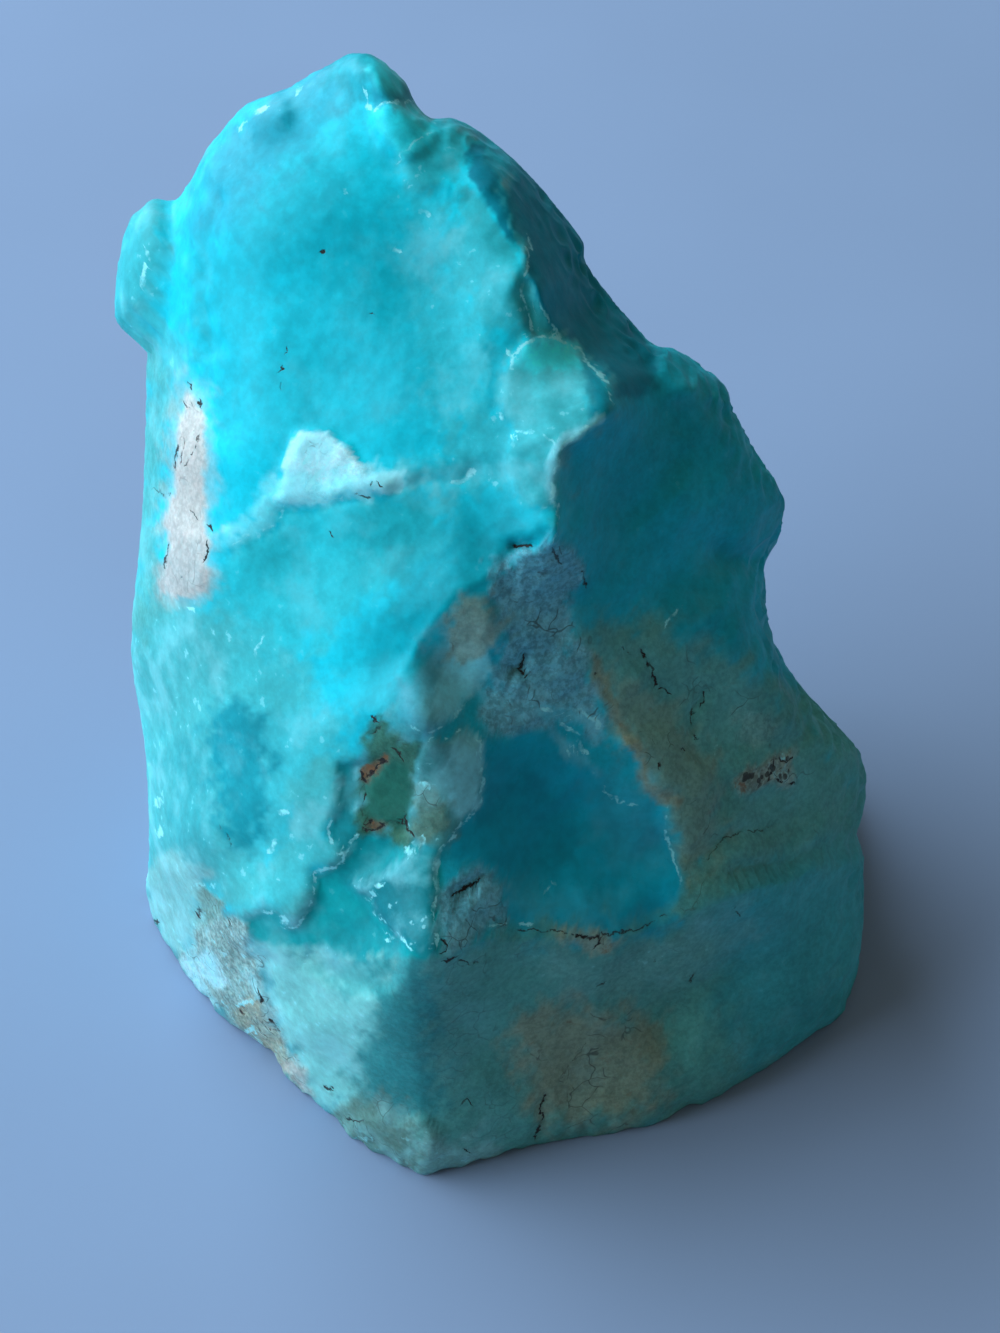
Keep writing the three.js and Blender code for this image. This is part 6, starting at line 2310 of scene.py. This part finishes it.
    def normal(self, board: NodeBoard, place: Socket) -> Socket:
        """Build the fine relief: soft waves everywhere, sharp crumbs where granular.

        Args:
            board: The material's node board.
            place: Socket of the object coordinates.

        Returns:
            The normal's socket.
        """
        grain = board.mark("grain")
        waves = board.times(board.noise(place, Mottle.WAVES), self.wave_height)
        crumbs = board.times(board.cells(place, self.crumb_cells), self.crumb_height)
        grit = board.times(board.noise(place, Mottle.GRIT), self.grit_height)
        crumbs = board.times(board.plus(crumbs, grit), board.plus(grain, 0.03))
        crack = self.line(board, place, "crack", self.crack_width)
        groove = board.times(crack, -self.groove_depth)
        bump = board.add("ShaderNodeBump")
        bump.inputs["Strength"].default_value = self.bump_strength
        bump.inputs["Distance"].default_value = self.bump_distance
        height = board.plus(board.plus(waves, crumbs), groove)
        board.feed(bump.inputs["Height"], height)
        return bump.outputs["Normal"]


@dataclass(frozen=True)
class FloorFinish:
    """A plain, pale, matt blue-grey floor.

    Attributes:
        colour: Its colour, linear red, green and blue.
        darker: Brightness of its darker places.
        roughness: How matt it is.
        shine: Strength of its mirror reflection.
    """

    colour: Colour = (0.24, 0.34, 0.51)
    darker: float = 0.95
    roughness: float = 0.9
    shine: float = 0.1

    def build(self) -> bpy.types.Material:
        """Build the material: one colour with the faintest unevenness.

        Returns:
            The floor's material.
        """
        material = bpy.data.materials.new("pale_floor")
        board = NodeBoard.of(material)
        place = board.add("ShaderNodeTexCoord").outputs["Object"]
        shade = board.rise(board.noise(place, Mottle.FLOOR), Ramp.FLOOR)
        darker = tuple(self.darker * c for c in self.colour)
        board.feed(board.shader.inputs["Base Color"], board.mix(shade, darker, self.colour))
        board.feed(board.shader.inputs["Roughness"], self.roughness)
        board.feed(board.shader.inputs["Specular IOR Level"], self.shine)
        return material


# ---------------------------------------------------------------- floor, light and camera
@dataclass
class Studio:
    """The floor, the soft light from the left and the camera.

    Attributes:
        sheet: The sheet that the camera faces.
        floor_half: Half width of the floor in metres.
        key_from: Direction from the stone to the main light.
        key_distance: Distance to the main light in metres.
        key_size: Width and height of the main light in metres.
        key_power: Power of the main light in watts.
        key_colour: Colour of the main light.
        sky: Colour of the surrounding light.
        sky_strength: Strength of the surrounding light.
        image_height: Height of the picture in pixels.
        pixels_per_mm: Picture scale at the sheet's middle.
        sensor_width: Width of the camera's sensor in millimetres.
        nearest_seen: Distance in metres within which the camera sees nothing.
    """

    sheet: DrawingSheet = field(default_factory=DrawingSheet)
    floor_half: float = 2.5
    key_from: Triple = (-0.77, 0.27, 0.52)
    key_distance: float = 0.8
    key_size: Span = (1.7, 0.8)
    key_power: float = 21.5
    key_colour: Colour = (0.74, 0.87, 1.0)
    sky: Colour = (1.0, 0.92, 0.76)
    sky_strength: float = 0.20
    image_height: int = 1333
    pixels_per_mm: float = 12.0
    sensor_width: float = 36.0
    nearest_seen: float = 0.01

    def build(self) -> None:
        """Build the floor, the light, the surroundings and the camera."""
        self.floor()
        self.key_light()
        self.surroundings()
        self.camera()
        bpy.context.scene.view_settings.view_transform = "Standard"

    def floor(self) -> None:
        """Lay a square floor at height 0."""
        side = self.floor_half
        mesh = bpy.data.meshes.new("floor")
        corners = [(-side, -side, 0.0), (side, -side, 0.0), (side, side, 0.0), (-side, side, 0.0)]
        mesh.from_pydata(corners, [], [(0, 1, 2, 3)])
        mesh.materials.append(FloorFinish().build())
        floor = bpy.data.objects.new("floor", mesh)
        bpy.context.scene.collection.objects.link(floor)

    def target(self) -> Vector:
        """Return the sheet's middle in metres, in the frame's own place."""
        middle = self.sheet.middle - np.array([*self.sheet.base_middle, 0.0])
        return Vector((middle * MM).tolist())

    def key_light(self) -> None:
        """Hang the wide soft light that faces the stone like a window."""
        light = bpy.data.lights.new("key_light", "AREA")
        light.shape = "RECTANGLE"
        light.size, light.size_y = self.key_size
        light.energy = self.key_power
        light.color = self.key_colour
        hung = bpy.data.objects.new("key_light", light)
        direction = Vector(self.key_from).normalized()
        hung.location = self.target() + direction * self.key_distance
        hung.rotation_euler = (-direction).to_track_quat("-Z", "Y").to_euler()
        bpy.context.scene.collection.objects.link(hung)

    def surroundings(self) -> None:
        """Set the even light that comes from all round."""
        world = bpy.data.worlds.new("surroundings")
        world.use_nodes = True
        background = world.node_tree.nodes["Background"]
        background.inputs["Color"].default_value = (*self.sky, 1.0)
        background.inputs["Strength"].default_value = self.sky_strength
        bpy.context.scene.world = world

    def camera(self) -> None:
        """Set the camera square to the sheet, at the eye's distance and the picture's scale."""
        camera = bpy.data.cameras.new("camera")
        camera.sensor_width = self.sensor_width
        focal_pixels = self.pixels_per_mm * self.sheet.eye_distance
        camera.lens = camera.sensor_width * focal_pixels / self.image_height
        camera.clip_start = self.nearest_seen
        towards = Vector(self.sheet.near.tolist())
        stand = bpy.data.objects.new("camera", camera)
        stand.location = self.target() + towards * self.sheet.eye_distance * MM
        stand.rotation_euler = (-towards).to_track_quat("-Z", "Y").to_euler()
        bpy.context.scene.collection.objects.link(stand)
        bpy.context.scene.camera = stand


def main() -> None:
    """Build the studio and the stone, and report each."""
    logging.basicConfig(level=logging.INFO, format="%(message)s")
    Studio().build()
    log.info("studio: floor, lights and camera")
    piece = StonePiece().build()
    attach(piece, BODY_NAME)
    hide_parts(NODE_NAME)
    log.info("stone: %d faces", len(piece.data.polygons))


if __name__ == "__main__":
    main()
